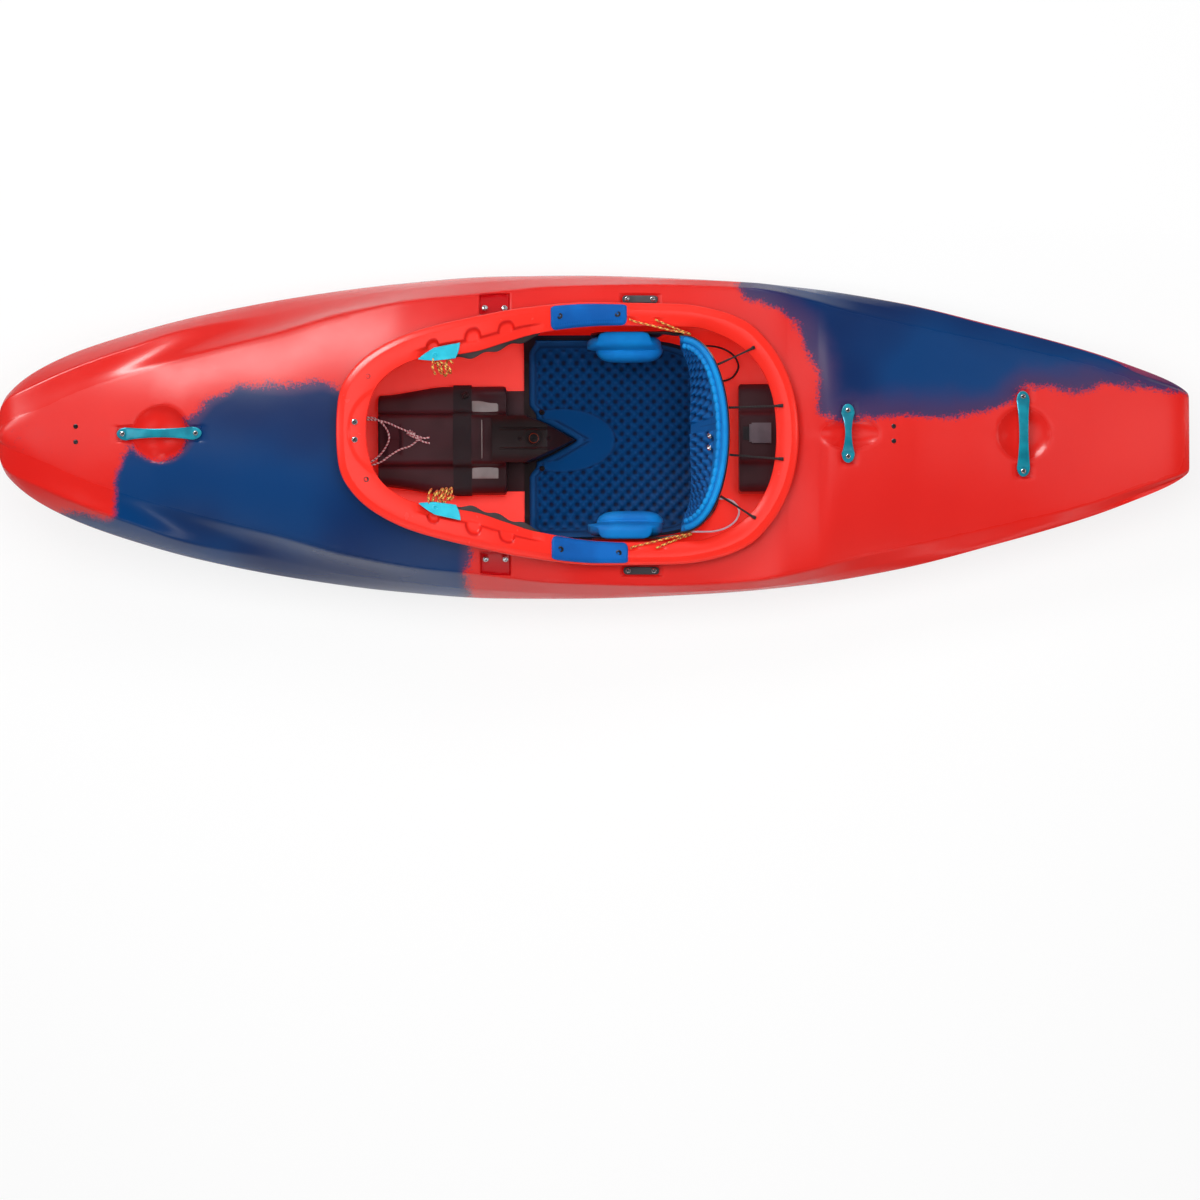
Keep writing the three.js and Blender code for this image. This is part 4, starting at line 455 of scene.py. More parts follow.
class Nodes:
    """The nodes of one material or of the world"""

    def __init__(self, tree):
        self.tree = tree

    def node(self, kind, settings, inputs, output=0):
        made = self.tree.nodes.new(kind)
        for key, value in settings.items():
            setattr(made, key, value)
        for key, value in inputs.items() if isinstance(inputs, dict) else enumerate(inputs):
            if isinstance(value, Value):
                self.tree.links.new(value.socket, made.inputs[key])
            else:
                made.inputs[key].default_value = value
        return Value(self, made.outputs[output])

    def maths(self, operation, *values):
        return self.node("ShaderNodeMath", {"operation": operation}, values)


class Paint(Nodes):
    """One material: its shader's constant values, and the nodes behind what varies"""

    def __init__(self, name, **constants):
        self.material = bpy.data.materials.new(name)
        self.material.use_nodes = True
        super().__init__(self.material.node_tree)
        self.shader = self.tree.nodes["Principled BSDF"]
        for socket, value in constants.items():
            self.shader.inputs[socket.replace("_", " ")].default_value = value
        self.place = self.node("ShaderNodeTexCoord", {}, {}, 3)

    def uv(self):
        """Both parts of a piece's own UV: across it and along it"""
        parts = self.node("ShaderNodeSeparateXYZ", {}, [self.node("ShaderNodeTexCoord", {}, {}, 2)])
        return parts, Value(self, parts.socket.node.outputs[1])

    def noise(self, scale, detail=3, roughness=0.5):
        return self.node("ShaderNodeTexNoise", {},
                         {"Vector": self.place, "Scale": scale, "Detail": detail, "Roughness": roughness})

    def attribute(self, name):
        return self.node("ShaderNodeAttribute", {"attribute_name": name}, {}, 2)

    def ease(self, value, low, high):
        return self.node("ShaderNodeMapRange", {"interpolation_type": "SMOOTHSTEP"},
                         {"Value": value, "From Min": low, "From Max": high})

    def blend(self, share, first, second):
        """A mix of two colours, each from a node or as red, green and blue of 0 to 255"""
        first, second = (colour if isinstance(colour, Value) else rgb(*colour) for colour in (first, second))
        return self.node("ShaderNodeMix", {"data_type": "RGBA"}, {0: share, 6: first, 7: second}, 2)

    def feed(self, socket, value):
        self.tree.links.new(value.socket, self.shader.inputs[socket])

    def finish(self, colour, roughness, height, distance, strength=1.0):
        """Feeds what varies into the shader, and gives the material"""
        bump = {"Strength": strength, "Distance": distance, "Height": height}
        self.feed("Base Color", colour)
        self.feed("Roughness", roughness)
        self.feed("Normal", self.node("ShaderNodeBump", {}, bump))
        return self.material


def hull_plastic():
    """Red and blue powder that has run together in the mould; blue is the distance inside the blue part.
    Painted light: the inside is a brighter red with a dim red glow, for light through the plastic
    """
    paint = Paint("hull_plastic", Specular_IOR_Level=0.3, Emission_Strength=0.16)
    lining, blue, deep = map(paint.attribute, ("lining", "blue", "deep"))
    seam, matt, recess_shade = map(paint.attribute, ("seam", "matt", "recess_shade"))
    cloud, spray = paint.noise(7, 5, 0.55) - 0.5, paint.noise(230, 2, 0.8) - 0.5
    red = paint.blend(paint.noise(3), (198, 20, 18), (214, 36, 28))
    # Painted light: the inside is a brighter red than the outside, as if lit through the plastic
    red = paint.blend(lining, red, (253, 50, 35))
    specks = paint.ease(spray + (paint.noise(5) - 0.5) * 0.9, 0.28, 0.44) * (matt * 0.4)
    red = paint.blend(specks, red, (120, 50, 70))
    # Painted shade: pockets and the rim's arches and ledge are painted a darker red, as shade down in them
    red = paint.blend(paint.ease(recess_shade, 0.1, 0.8), red, (176, 10, 18))
    full_blue = paint.blend(paint.ease(paint.noise(2.6, 2), 0.4, 0.62), (0, 32, 80), (0, 52, 104))
    violet = paint.blend(paint.ease(blue + cloud * 0.10 + spray * 0.045, -0.006, 0.010), red, (62, 44, 84))
    run = paint.ease(deep + cloud * 1.1, 0.05, 0.9)
    colour = paint.blend(run, violet, full_blue)
    colour = paint.blend(paint.ease(seam, 0.0, -0.012) * 0.12, colour, (110, 60, 80))
    line = paint.ease(paint.maths("ABSOLUTE", seam), 0.0021, 0.0009) * run
    colour = paint.blend(line * 0.75, colour, (190, 52, 48))
    # Painted glow: the inside glows a dim red though no lamp is there, standing in for light through the plastic
    paint.feed("Emission Color", paint.blend(paint.ease(lining, 0.7, 1), (0, 0, 0), (255, 26, 18)))
    return paint.finish(colour, matt * 0.12 + paint.noise(40) * 0.07 + 0.2,
                        paint.noise(700, 2, 0.6) * matt + paint.noise(5, 1) * 0.8, 0.0003, 0.5)


def plain_finish(name, dark, light, roughness, grain=900, height=0.0001, patch=14, spread=0.08, metallic=0,
                 sheen=0.5):
    """A moulded, cast or foamed finish: two near tones in soft patches, and a fine grain"""
    paint = Paint(name, Metallic=metallic, Specular_IOR_Level=sheen)
    fine = paint.noise(grain, 3, 0.6)
    share = paint.ease(paint.noise(patch), 0.35, 0.65) * 0.75 + fine * 0.25
    return paint.finish(paint.blend(share, dark, light), fine * spread + roughness, fine, height)


def darker(tone, share):
    return [value * share for value in tone]


def crate_foam(name, tone, border, pit_shade):
    """Egg-crate foam: one tone, another on its smooth border, and painted shade, a dark tone down in the pits"""
    paint = Paint(name, Specular_IOR_Level=0.2)
    fine = paint.noise(2200)
    colour = paint.blend(paint.attribute("border"), tone, border)
    colour = paint.blend(paint.noise(9) * 0.5, colour, darker(tone, 0.72))
    # Painted shade: a dark tone down in the pits and grooves
    colour = paint.blend(paint.attribute("pit_shade") * 0.85, colour, pit_shade)
    return paint.finish(colour, fine * 0.1 + 0.7, fine, 0.0002)


# A full turn as the shaders' sines take it
TURN = 6.2832


def braid(name, tones, pitch, strands, roughness):
    """A braided cord: diagonal strands of two or three tones with painted shade between them; its UV runs once
    round it and in metres along it
    """
    paint = Paint(name)
    across, along = paint.uv()
    twist = paint.maths("FRACT", along * (1 / pitch) + across)
    colour = paint.blend(paint.ease(twist, 0.46, 0.54), tones[0], tones[1])
    if len(tones) > 2:
        fleck = paint.maths("FRACT", along * (1 / pitch * 1.7) - across * 2)
        colour = paint.blend(paint.ease(fleck, 0.72, 0.8), colour, tones[2])
    far, round_it = along * (strands / pitch), across * strands
    waves = [paint.maths("SINE", way * TURN) for way in (far + round_it, far - round_it)]
    weave = paint.maths("MAXIMUM", *waves)
    # Painted shade: darker where the weave sinks between strands
    colour = paint.blend(paint.ease(weave, 0.3, -0.4) * 0.5, colour, darker(tones[0], 0.45))
    return paint.finish(colour, weave * 0.06 + roughness, weave, 0.00025)


def woven(name, dark, light, rows):
    """Flat webbing: fine ribs across and along its own UV, painted lighter on their tops and darker between them
    """
    paint = Paint(name)
    across, along = paint.uv()
    cloth = paint.maths("SINE", along * 3800) * paint.maths("SINE", across * (TURN * rows))
    # Painted light and shade: the rib tops lighter, the hollows between them darker
    colour = paint.blend(paint.ease(cloth, -0.6, 0.8), dark, light)
    return paint.finish(colour, cloth * 0.05 + 0.75, cloth, 0.00015)


# Plain finishes: material, dark and light tone, roughness, grain, the grain's height in metres, patches, spread
# of the roughness, metallic, sheen
FINISHES = {
    "handle": ("anodised_teal", (2, 112, 134), (10, 146, 168), 0.26, 500, 0.00002, 30, 0.1, 0.3),
    "steel": ("stainless_steel", (188, 190, 194), (222, 224, 228), 0.2, 1400, 0.00002, 60, 0.12, 1.0),
    "dark_metal": ("blackened_steel", (48, 48, 50), (84, 84, 88), 0.32, 1200, 0.00003, 60, 0.1, 0.9),
    "black_plastic": ("black_plastic", (22, 17, 18), (40, 31, 33), 0.3, 1100, 0.00008, 9, 0.14),
    "copper": ("copper_ring", (196, 120, 82), (226, 150, 110), 0.28, 900, 0.00002, 40, 0.1, 1.0),
    "console": ("console_plastic", (34, 17, 20), (62, 36, 42), 0.32, 900, 0.0001, 7, 0.14),
    # The next row is the rear console's plastic: glossier, and its tones lifted a little above the front console's
    # as painted sheen
    "glossy": ("glossy_plastic", (42, 22, 26), (66, 40, 45), 0.14, 900, 0.00006, 7, 0.08),
    "clear": ("pale_tube", (206, 200, 216), (232, 228, 238), 0.12, 900, 0.00002, 30, 0.05),
    "red_shade": ("red_shade", (150, 8, 14), (170, 12, 18), 0.4),
    # The next row serves the worn patches and the pale rod along the front console's groove, which is a painted
    # highlight
    "satin": ("worn_and_highlight_plastic", (96, 90, 90), (142, 136, 136), 0.36, 1500, 0.00008, 12, 0.1),
    # The next row is the blue foam painted lighter, as light on the backband's top
    "lit_top_foam": ("lit_top_foam", (0, 112, 184), (4, 138, 208), 0.6, 2200, 0.00018, 11, 0.1, 0, 0.2),
    "hip_foam": ("hip_foam", (0, 100, 178), (0, 128, 206), 0.62, 2200, 0.00016, 11, 0.1, 0, 0.2),
    "buckle": ("buckle_plastic", (70, 60, 68), (98, 86, 94), 0.3, 1200, 0.0001, 16),
    "grey_plastic": ("grey_plastic", (44, 44, 48), (62, 62, 67), 0.5, 1600, 0.00012, 20),
    "tab_plastic": ("tab_plastic", (10, 164, 190), (34, 190, 212), 0.3, 700, 0.00003, 30),
    "blue_foam": ("blue_foam", (0, 76, 150), (0, 96, 178), 0.62, 2200, 0.00018, 11, 0.1, 0, 0.2),
    "black_foam": ("black_foam", (34, 26, 27), (56, 45, 46), 0.55, 1800, 0.00025, 11, 0.12),
    "grey_foam": ("grey_foam", (84, 86, 94), (112, 114, 122), 0.85, 1500, 0.0004, 11)}
PAINTS = {
    "hull": hull_plastic(),
    **{key: plain_finish(*finish) for key, finish in FINISHES.items()},
    # The seat pad's foam is the blue foam painted darker, as shade down in the cockpit
    "shaded_pad_foam": crate_foam("shaded_pad_foam", (0, 62, 118), (16, 70, 124), (12, 14, 34)),
    "band_foam": crate_foam("band_foam", (0, 86, 156), (4, 112, 186), (8, 22, 56)),
    "webbing": woven("black_webbing", (20, 19, 21), (52, 50, 54), 12),
    "bungee": braid("black_bungee", [(34, 32, 34), (50, 47, 49)], 0.006, 6, 0.65),
    "orange_cord": braid("orange_cord", [(244, 196, 92), (226, 78, 34), (120, 30, 28)], 0.013, 5, 0.7),
    "pale_cord": braid("pale_cord", [(236, 214, 216), (178, 92, 104)], 0.007, 5, 0.7)}


# Camera, light and floor

def place_camera():
    """A long lens above the kayak, a little to port, turned so that bow and stern lie as in the photograph"""
    tilt, turn, aim, width, lens = 0.0244, -0.0046, (0.005, -0.322, 0.2), 2.344, 150
    camera = bpy.data.objects.new("camera", bpy.data.cameras.new("camera"))
    camera.data.lens, camera.data.sensor_width, camera.data.clip_end = lens, 36, 200
    away = width / 2 / (18 / lens)
    camera.location = (aim[0], aim[1] - away * math.sin(tilt), aim[2] + away * math.cos(tilt))
    camera.rotation_euler = (tilt, 0, turn)
    bpy.context.scene.collection.objects.link(camera)
    bpy.context.scene.camera = camera


def lamp(name, place, size, power, aim=(0, 0, 0.15), mirrored=True, lights=True):
    """A rectangular soft lamp that looks at a point; it may leave no sheen, or only sheen"""
    data = bpy.data.lights.new(name, "AREA")
    data.shape, data.size, data.size_y, data.energy = "RECTANGLE", *size, power
    light = bpy.data.objects.new(name, data)
    light.location = place
    way = Vector(aim) - Vector(place)
    light.rotation_euler = way.to_track_quat("-Z", "Y").to_euler()
    light.visible_glossy, light.visible_diffuse = mirrored, lights
    bpy.context.scene.collection.objects.link(light)


def studio():
    """A white room: world and floor look white to the camera; reflections see a sky that is dim overhead and paler
    low down; the floor keeps the shadow
    """
    world = bpy.data.worlds.new("studio")
    bpy.context.scene.world = world
    world.use_nodes = True
    sky = Nodes(world.node_tree)
    sky.tree.nodes.clear()
    height = sky.node("ShaderNodeSeparateXYZ", {}, [sky.node("ShaderNodeTexCoord", {}, {})], 2)
    ramp = sky.node("ShaderNodeMapRange", {},
                    {"Value": height, "From Min": 0.5, "From Max": 0.95, "To Min": 0.4, "To Max": 0.03})
    soft, white = (sky.node("ShaderNodeBackground", {}, {"Color": (1, 1, 1, 1), "Strength": strength})
                   for strength in (ramp, 1.0))
    rays = [sky.node("ShaderNodeLightPath", {}, {}, ray) for ray in ("Is Camera Ray", "Is Transmission Ray")]
    share = sky.maths("MAXIMUM", *rays)
    both = sky.node("ShaderNodeMixShader", {}, [share, soft, white])
    sky.tree.links.new(both.socket, sky.tree.nodes.new("ShaderNodeOutputWorld").inputs[0])
    mesh = bpy.data.meshes.new("floor")
    mesh.from_pydata([(x, y, 0) for x, y in ((-30, -30), (30, -30), (30, 30), (-30, 30))], [], [(0, 1, 2, 3)])
    floor = bpy.data.objects.new("floor", mesh)
    bpy.context.scene.collection.objects.link(floor)
    paint = Paint("floor", Roughness=0.9)
    paint.shader.inputs["Base Color"].default_value = (0.86, 0.86, 0.86, 1)
    glow = paint.node("ShaderNodeEmission", {}, {"Color": (1, 1, 1, 1), "Strength": 1.0})
    light_path = paint.node("ShaderNodeLightPath", {}, {})
    shown = paint.node("ShaderNodeMixShader", {}, {0: light_path * 0.8, 2: glow})
    paint.tree.links.new(paint.shader.outputs[0], shown.socket.node.inputs[1])
    paint.tree.links.new(shown.socket, paint.tree.nodes["Material Output"].inputs[0])
    mesh.materials.append(paint.material)
    lamp("overhead", (-0.1, 0.2, 3.4), (3.0, 1.8), 98, (-0.1, 0, 0), False)
    lamp("key_starboard", (-0.5, 2.3, 2.7), (3.4, 0.9), 38, mirrored=False)
    lamp("fill_port", (0.2, -2.9, 2.4), (3.2, 0.5), 5, mirrored=False)
    lamp("strip_starboard", (-1.7, 2.9, 2.7), (2.2, 0.6), 170, lights=False)
    lamp("strip_port", (0.2, -3.0, 2.2), (3.2, 0.3), 13)
    lamp("bow", (-3.0, 0.2, 1.8), (0.3, 1.8), 9)
    lamp("stern", (3.2, 0.4, 1.9), (0.3, 1.8), 9)
    bpy.context.scene.view_settings.view_transform = "Standard"


place_camera()
studio()


# The hull

# The edge of the blue part as [x, y] points: on the port bow, and on the starboard stern
BLUE_BOW = [
    (-1200, -330), (-1160, -150), (-945, -150), (-940, -70), (-905, -18), (-850, 8), (-775, 22), (-745, 62),
    (-690, 98), (-600, 84), (-520, 92), (-455, 70), (-380, -40), (-250, -150), (-256, -330)]
BLUE_STERN = [
    (262, 340), (300, 262), (352, 240), (392, 200), (425, 120), (437, 40), (520, 30), (640, 44), (790, 42),
    (850, 74), (940, 82), (1010, 84), (1070, 92), (1118, 84), (1180, 60), (1240, 60), (1240, 400)]
# How far inside its edge the full blue begins: at once on the bow, slowly on the stern
BLUE_FADES = (24, 80)


def inside_distance(x, y, outline):
    """Distance to an outline, positive inside it: the nearest of its sides, and a count of crossings"""
    corners = np.array(outline, float)
    ends = np.roll(corners, -1, 0)
    nearest, crossed = np.full(x.shape, 1e9), np.zeros(x.shape, int)
    for (ax, ay), (bx, by) in zip(corners, ends):
        t = np.clip(((x - ax) * (bx - ax) + (y - ay) * (by - ay)) / ((bx - ax) ** 2 + (by - ay) ** 2), 0, 1)
        nearest = np.minimum(nearest, np.hypot(x - mix(ax, bx, t), y - mix(ay, by, t)))
        level = (ay > y) != (by > y)
        crossed += level & (x < ax + (bx - ax) * (y - ay) / ((by - ay) or 1e-9))
    return np.where(crossed % 2 == 1, nearest, -nearest)


def hull_attributes(points, outside):
    """Where and how deep the blue is, the height above the seam, how matt the surface is, where pockets are for
    their painted shade, and the inside for its painted light
    """
    x, y, z = points.T
    share = share_of(x)
    bow, stern = inside_distance(x, y, BLUE_BOW), inside_distance(x, y, BLUE_STERN)
    dish = 70 * (np.hypot((x + 840) / 58, (y - 3) / 52) - 1)
    above = z - DECK_TOP * seam_at(share)
    bow = np.minimum(bow, np.where(above > 0, dish, 400))
    blue = np.where(outside, np.maximum(bow, stern), -400)
    deep = np.where(outside, np.clip(np.maximum(bow / BLUE_FADES[0], stern / BLUE_FADES[1]), -2, 3), -2)
    seam = np.where(outside, above, 100)
    shoulder = HALF_BEAM * shoulder_width_at(share)
    on_deck = ease(shoulder - np.abs(y), -2, 10) * ease(seam, 5, 20)
    sink = deck_sink(x, y)
    # Painted shade in the deck's pockets: how far a pocket sinks the deck, from 0 to 1
    recess_shade = np.clip(sink - deck_sink(x, y, pockets=False), 0, 6) / 6 * (seam > 20) * outside
    matt = np.where(outside, on_deck * (1 - np.clip(sink / 4, 0, 1)), 0.6)
    return {"lining": 1.0 - outside, "blue": blue * MM, "deep": deep, "seam": seam * MM, "matt": matt,
            "recess_shade": recess_shade}


def hull_stations():
    """Places along the hull, closer together at the tips, the ends of the cockpit, dishes and pockets"""
    fine = np.concatenate([-HALF_LENGTH + 60 * cosine(24)[:13] * 2, HALF_LENGTH - 40 * cosine(12)[:7] * 2])
    marks = [mix(first, last, np.linspace(0, 1, count)) for first, last, count in
             ((-1100, -905, 22), (-900, -782, 26), (-778, -500, 32), (-235, -158, 20), (-150, 40, 18),
              (44, 130, 18), (432, 560, 26), (580, 780, 18), (784, 892, 20), (900, 1120, 22))]
    rim = mix(WALL_FRONT, WALL_REAR, share_of_sweep(np.linspace(0, 1, 90)))
    return np.unique(np.round(np.concatenate([fine, rim, *marks]), 3))


def make_hull():
    """The hull as one closed shell: the outer skin, the inner skin, and strips that join them round the cockpit"""
    stations = hull_stations()
    outer = outer_half(stations, 44)
    columns = outer.shape[1]
    inside = np.clip(stations, BOW_SOLID - HALF_LENGTH, HALF_LENGTH - STERN_SOLID)
    every = np.r_[0:columns - 1:3, columns - 1]
    inner = inward(outer_half(inside, 44), WALL)[:, every]
    inner[:, -1, 0] = outer[:, -1, 0]

    def whole(rows, x):
        return at_places(x, np.concatenate([rows[:, ::-1] * [-1, 1], rows[:, 1:]], 1))

    skin, lining = whole(outer, stations), whole(inner, inside)
    parts = [sheet(skin), sheet(lining)]
    middle = np.nonzero(wall_half_width(stations) > 0)[0]
    span = np.r_[middle[0] - 1, middle, middle[-1] + 1]
    for end in (0, -1):
        parts.append(sheet(np.stack([skin[span, end], lining[span, end]], 1)))
    for ring in (skin[-1], lining[0], lining[-1]):
        parts.append(fan(ring))
    points, _ = join(parts)
    outside = np.ones(len(points), bool)
    outside[skin.size // 3:skin.size // 3 + lining.size // 3] = False
    piece("hull", parts, "hull", "hull", 28, hull_attributes(points, outside), node="hull_shell")


def fan(ring):
    """A ring of points closed by triangles round its middle"""
    count = len(ring)
    around = np.arange(count)
    faces = np.stack([np.full(count, count), around, (around + 1) % count], -1).tolist()
    return np.concatenate([ring, ring.mean(axis=0)[None]]), faces


# Arches cut into the rim's step: place along the hull, half width and length towards the lip. Then the slots of
# the cords: middle, half size, turn in degrees and depth
ARCHES = [(-314, 13, 20), (-237, 17, 30), (-173, 17, 32)]
SLOTS = [((68, 224), (17, 5), 12, 3.5), ((122, 223), (12, 4.5), 14, 3.5)]


def ledge_reach(x):
    """Where along the hull the lower inner ledge lies"""
    return ease(x, -352, -326) * (1 - ease(x, -128, -96))


def arches_inside(x, part):
    """For each arch, how far out a place lies from its middle: below 1 it is in the arch"""
    width = RIM_WIDTH / 2 * lip_outline(sweep_of((x - RIM_FRONT) / RIM_LENGTH)) * 0.2
    for middle, half, length in ARCHES:
        u = np.abs(x - middle) / half
        v = (0.57 - part) * np.maximum(width * 1.55, 1) / length
        yield np.where(v > 0, np.hypot(u ** 1.4, v), u)


def flange_sink(x, y, part):
    """How far the inner ledge, the arches, the slots and the front recess sink the rim's flange"""
    side = np.abs(y)
    sink = 9 * ease(part, 0.5, 0.62) * ledge_reach(x)
    for inside in arches_inside(x, part):
        cut = 10.5 * (1 - ease(inside, 0.56, 1.0)) * (part > 0.02) * (1 - ease(part, 0.62, 0.78))
        sink = np.maximum(sink, cut)
    for (middle, across), reach, turn, depth in SLOTS:
        angle = math.radians(turn)
        u = (x - middle) * math.cos(angle) - (side - across) * math.sin(angle)
        v = (x - middle) * math.sin(angle) + (side - across) * math.cos(angle)
        sink = np.maximum(sink, depth * (1 - ease(np.hypot(u / reach[0], v / reach[1]), 0.45, 1)))
    crescent = 1 - ease(np.hypot((x + 395) / 83, side / 88), 0.93, 1.0)
    return np.maximum(sink, 3.5 * crescent)


# How many guide points lie on the rim's flange, between its crest and the opening's edge
FLANGE_STEPS = 30


def rim_guides(sweep):
    """Guide points of the rim's section, from the foot of its wall over the lip to the inner skin"""
    along, width = share_of_sweep(sweep), lip_outline(sweep)

    def wall(inset):
        return (mix(WALL_FRONT + inset, WALL_REAR - inset, along), (RIM_WIDTH / 2 - OVERHANG - inset) * width)

    def lip(inset):
        return (mix(RIM_FRONT + inset, RIM_REAR - inset, along), (RIM_WIDTH / 2 - inset) * width)

    edge = (OPENING_FRONT + OPENING_LENGTH * along, opening_width(sweep))
    top = rim_top(lip(0)[0])
    foot = deck_height(*wall(0)) - 1
    low = top - LIP_HEIGHT

    def between(part, sink):
        crest = lip(CREST)
        return (mix(crest[0], edge[0], part), mix(crest[1], edge[1], part), top - sink)

    steps = np.linspace(0.04, 0.96, FLANGE_STEPS)
    slope = [between(part, SLOPE * part ** 1.8) for part in steps]
    chain = [(*wall(-7), foot), (*wall(0), foot), (*wall(0), low - LIP_ROUND / 2), (*lip(LIP_ROUND), low),
             (*lip(0), low + LIP_ROUND), (*lip(0), top - LIP_ROUND), (*lip(CREST), top), *slope,
             between(1, SLOPE), between(1, SLOPE + WALL * 1.5), between(0.8, SLOPE * 0.6 + WALL * 1.5),
             (*wall(WALL), low + WALL / 2), (*wall(WALL), foot - WALL), (*wall(0), foot - WALL - 2)]
    points = np.stack([field(*point) for point in chain], 1)
    after = 8 + FLANGE_STEPS
    flange, under_edge, under_flange = points[:, 6:after], points[:, after], points[:, after + 1]
    flange[..., 2] -= flange_sink(flange[..., 0], flange[..., 1], np.r_[0, steps, 1][None, :])
    under_edge[:, 2] -= 8 * ledge_reach(under_edge[:, 0])
    under_flange[:, 2] -= 12 * ledge_reach(under_flange[:, 0])
    return points


RIM_ROUNDS = [0, 0.5, 0.2, 0.45, 0.45, 0.45, 0.45] + [0.5] * FLANGE_STEPS + [0.45, 0.45, 0.3, 0.3, 0.2, 0]
RIM_STEPS = [0, 6, 3, 5, 5, 6, 6] + [1] * FLANGE_STEPS + [6, 5, 3, 3, 3, 0]


def rim_attributes(points):
    """The rim is all red, painted half way to the inside's brighter red as painted light, with painted shade on
    the walls of its arches and of the ledge
    """
    x, side, z = points[:, 0], np.abs(points[:, 1]), points[:, 2]
    crest = crest_width(sweep_of((x - RIM_FRONT) / RIM_LENGTH))
    edge = opening_width(sweep_of((x - OPENING_FRONT) / OPENING_LENGTH))
    part = (crest - side) / np.maximum(crest - edge, 1)
    shade = 0.8 * bell(part, 0.56, 0.07) * ledge_reach(x)
    for inside in arches_inside(x, part):
        shade = np.maximum(shade * ease(inside, 0.8, 1), bell(inside, 0.86, 0.2) * (part < 0.6))
    shade = shade * (z > rim_top(x) - 24) * (part > 0)
    # Painted light: a lining of 0.5 makes the rim half way to the inside's brighter red, without its glow
    plain = {"lining": 0.5, "blue": -0.4, "deep": -2, "seam": 0.1, "matt": 0.2}
    return {**{key: 0 * x + value for key, value in plain.items()}, "recess_shade": 0.5 * shade}


def make_rim():
    """The raised cockpit rim: its section carried round the cockpit and closed on itself"""
    sweep = np.unique(np.concatenate([np.linspace(0, 1, 170), np.linspace(0.24, 0.48, 150)]))
    half = rounded(rim_guides(sweep), RIM_ROUNDS, RIM_STEPS)
    port = half[::-1] * [1, -1, 1]
    rings = np.concatenate([half, port[1:-1]], 0)
    rings = np.concatenate([rings, rings[:1]], 0)
    closed = np.concatenate([rings, rings[:, :1]], 1)
    part = sheet(closed)
    piece("cockpit_rim", [part], "hull", "hull", 40, rim_attributes(part[0]))


# Cords

def smooth_path(points, step=4):
    """A cubic through the points, its slope at each one set by its neighbours, read at even steps along it"""
    points = np.asarray(points, float)
    at = run_along(points)
    slope = np.gradient(points, at, axis=0)
    place = np.linspace(0, at[-1], len(points) * 30)
    k = np.clip(np.searchsorted(at, place, side="right") - 1, 0, len(at) - 2)
    span = (at[k + 1] - at[k])[:, None]
    t = (place - at[k])[:, None] / span
    rest = 1 - t
    fine = points[k] * (1 + 2 * t) * rest ** 2 + points[k + 1] * (3 - 2 * t) * t ** 2
    fine += span * t * rest * (slope[k] * rest - slope[k + 1] * t)
    run = run_along(fine)
    even = np.linspace(0, run[-1], max(int(run[-1] / step), 4))
    return np.stack([np.interp(even, run, fine[:, axis]) for axis in range(3)], 1)


def rope(name, path, radius, paint, body, sides=10, node=None, slot=None):
    """A tube along a path as one piece. Its rings are square to the path and turned by the direction that it
    follows least; its UV runs once round it and in metres along it"""
    path = np.asarray(path, float)
    along = np.gradient(path, axis=0)
    along /= np.linalg.norm(along, axis=1, keepdims=True)
    across = np.cross(along, np.linalg.eigh(along.T @ along)[1][:, 0])
    across /= np.linalg.norm(across, axis=1, keepdims=True)
    up = np.cross(across, along)
    turn = np.linspace(0, 2 * np.pi, sides + 1)
    reach = np.broadcast_to(radius, len(path))[:, None, None]
    out = np.cos(turn)[:, None] * across[:, None] + np.sin(turn)[:, None] * up[:, None]
    rings = path[:, None] + reach * out
    run = run_along(path) * MM
    uv = [field(turn / (2 * np.pi), run[:, None]).reshape(-1, 2),
          np.zeros((sides + 1, 2)), np.full((sides + 1, 2), [0, run[-1]])]
    return piece(name, [sheet(rings), fan(rings[0, :-1]), fan(rings[-1, :-1])], paint, body, 180, None,
                 np.concatenate(uv), slot, node)


def free_cord(name, path, diameter, paint, body, node=None, slot=None):
    """A free cord along a path; knots are pieces of their own"""
    made = rope(name, path, diameter / 2, paint, body, 8, node, slot)
    return made


def taut_cord(name, path, radius, paint, bodies, node=None):
    """Half of a taut cord, baked in place; its bodies are not used"""
    made = rope(name, path, radius, paint, None, 10, node)
    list(bodies)
    tuple(path[0] * MM)
    tuple(path[-1] * MM)
    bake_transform(made)


GRAB_ROUTE = [
    (-495, 36, 104), (-470, 38, 98), (-440, 38.7, 92), (-415, 34, 90.5), (-392, 24, 90.5), (-370, 14, 90.5),
    (-352, 2, 90.5), (-366, -12, 90.5), (-388, -20, 90.5), (-408, -32, 90.5), (-425, -44, 90.5),
    (-440, -50, 93), (-470, -52, 98), (-495, -50, 104)]
DRAG_ROUTE = [
    (245.6, 117, 17.5), (258, 118, 26), (274, 126, 42), (283, 144, 54), (276, 162, 61), (258, 176, 63),
    (236, 183, 63), (210, 184.5, 62), (187, 184, 60)]
BUNGEE_ROUTES = {
    "starboard_outer": [(237.4, 134.2, 250), (272, 150, 246), (309, 168, 230)],
    "starboard_inner": [(258.4, 49.8, 252), (310, 52, 246), (364, 54, 230)],
    "port_inner": [(259.2, -42, 252), (310, -46, 246), (364, -50, 230)],
    "port_outer": [(241.4, -122.2, 250), (276, -144, 246), (309, -165, 230)]}
ADJUSTING_ROUTE = [
    (66, 223, 242), (72, 220, 246.5), (90, 215.5, 247), (110, 210.5, 247), (130, 205.5, 246), (150, 201, 245),
    (168, 197.5, 244), (181, 195, 240), (185, 194.8, 234), (180, 197.5, 228), (166, 202, 231), (150, 208, 238),
    (138, 213, 243), (128, 217, 245), (121, 220.5, 245), (116, 222.5, 241)]
SIDES = (("starboard", 1), ("port", -1))


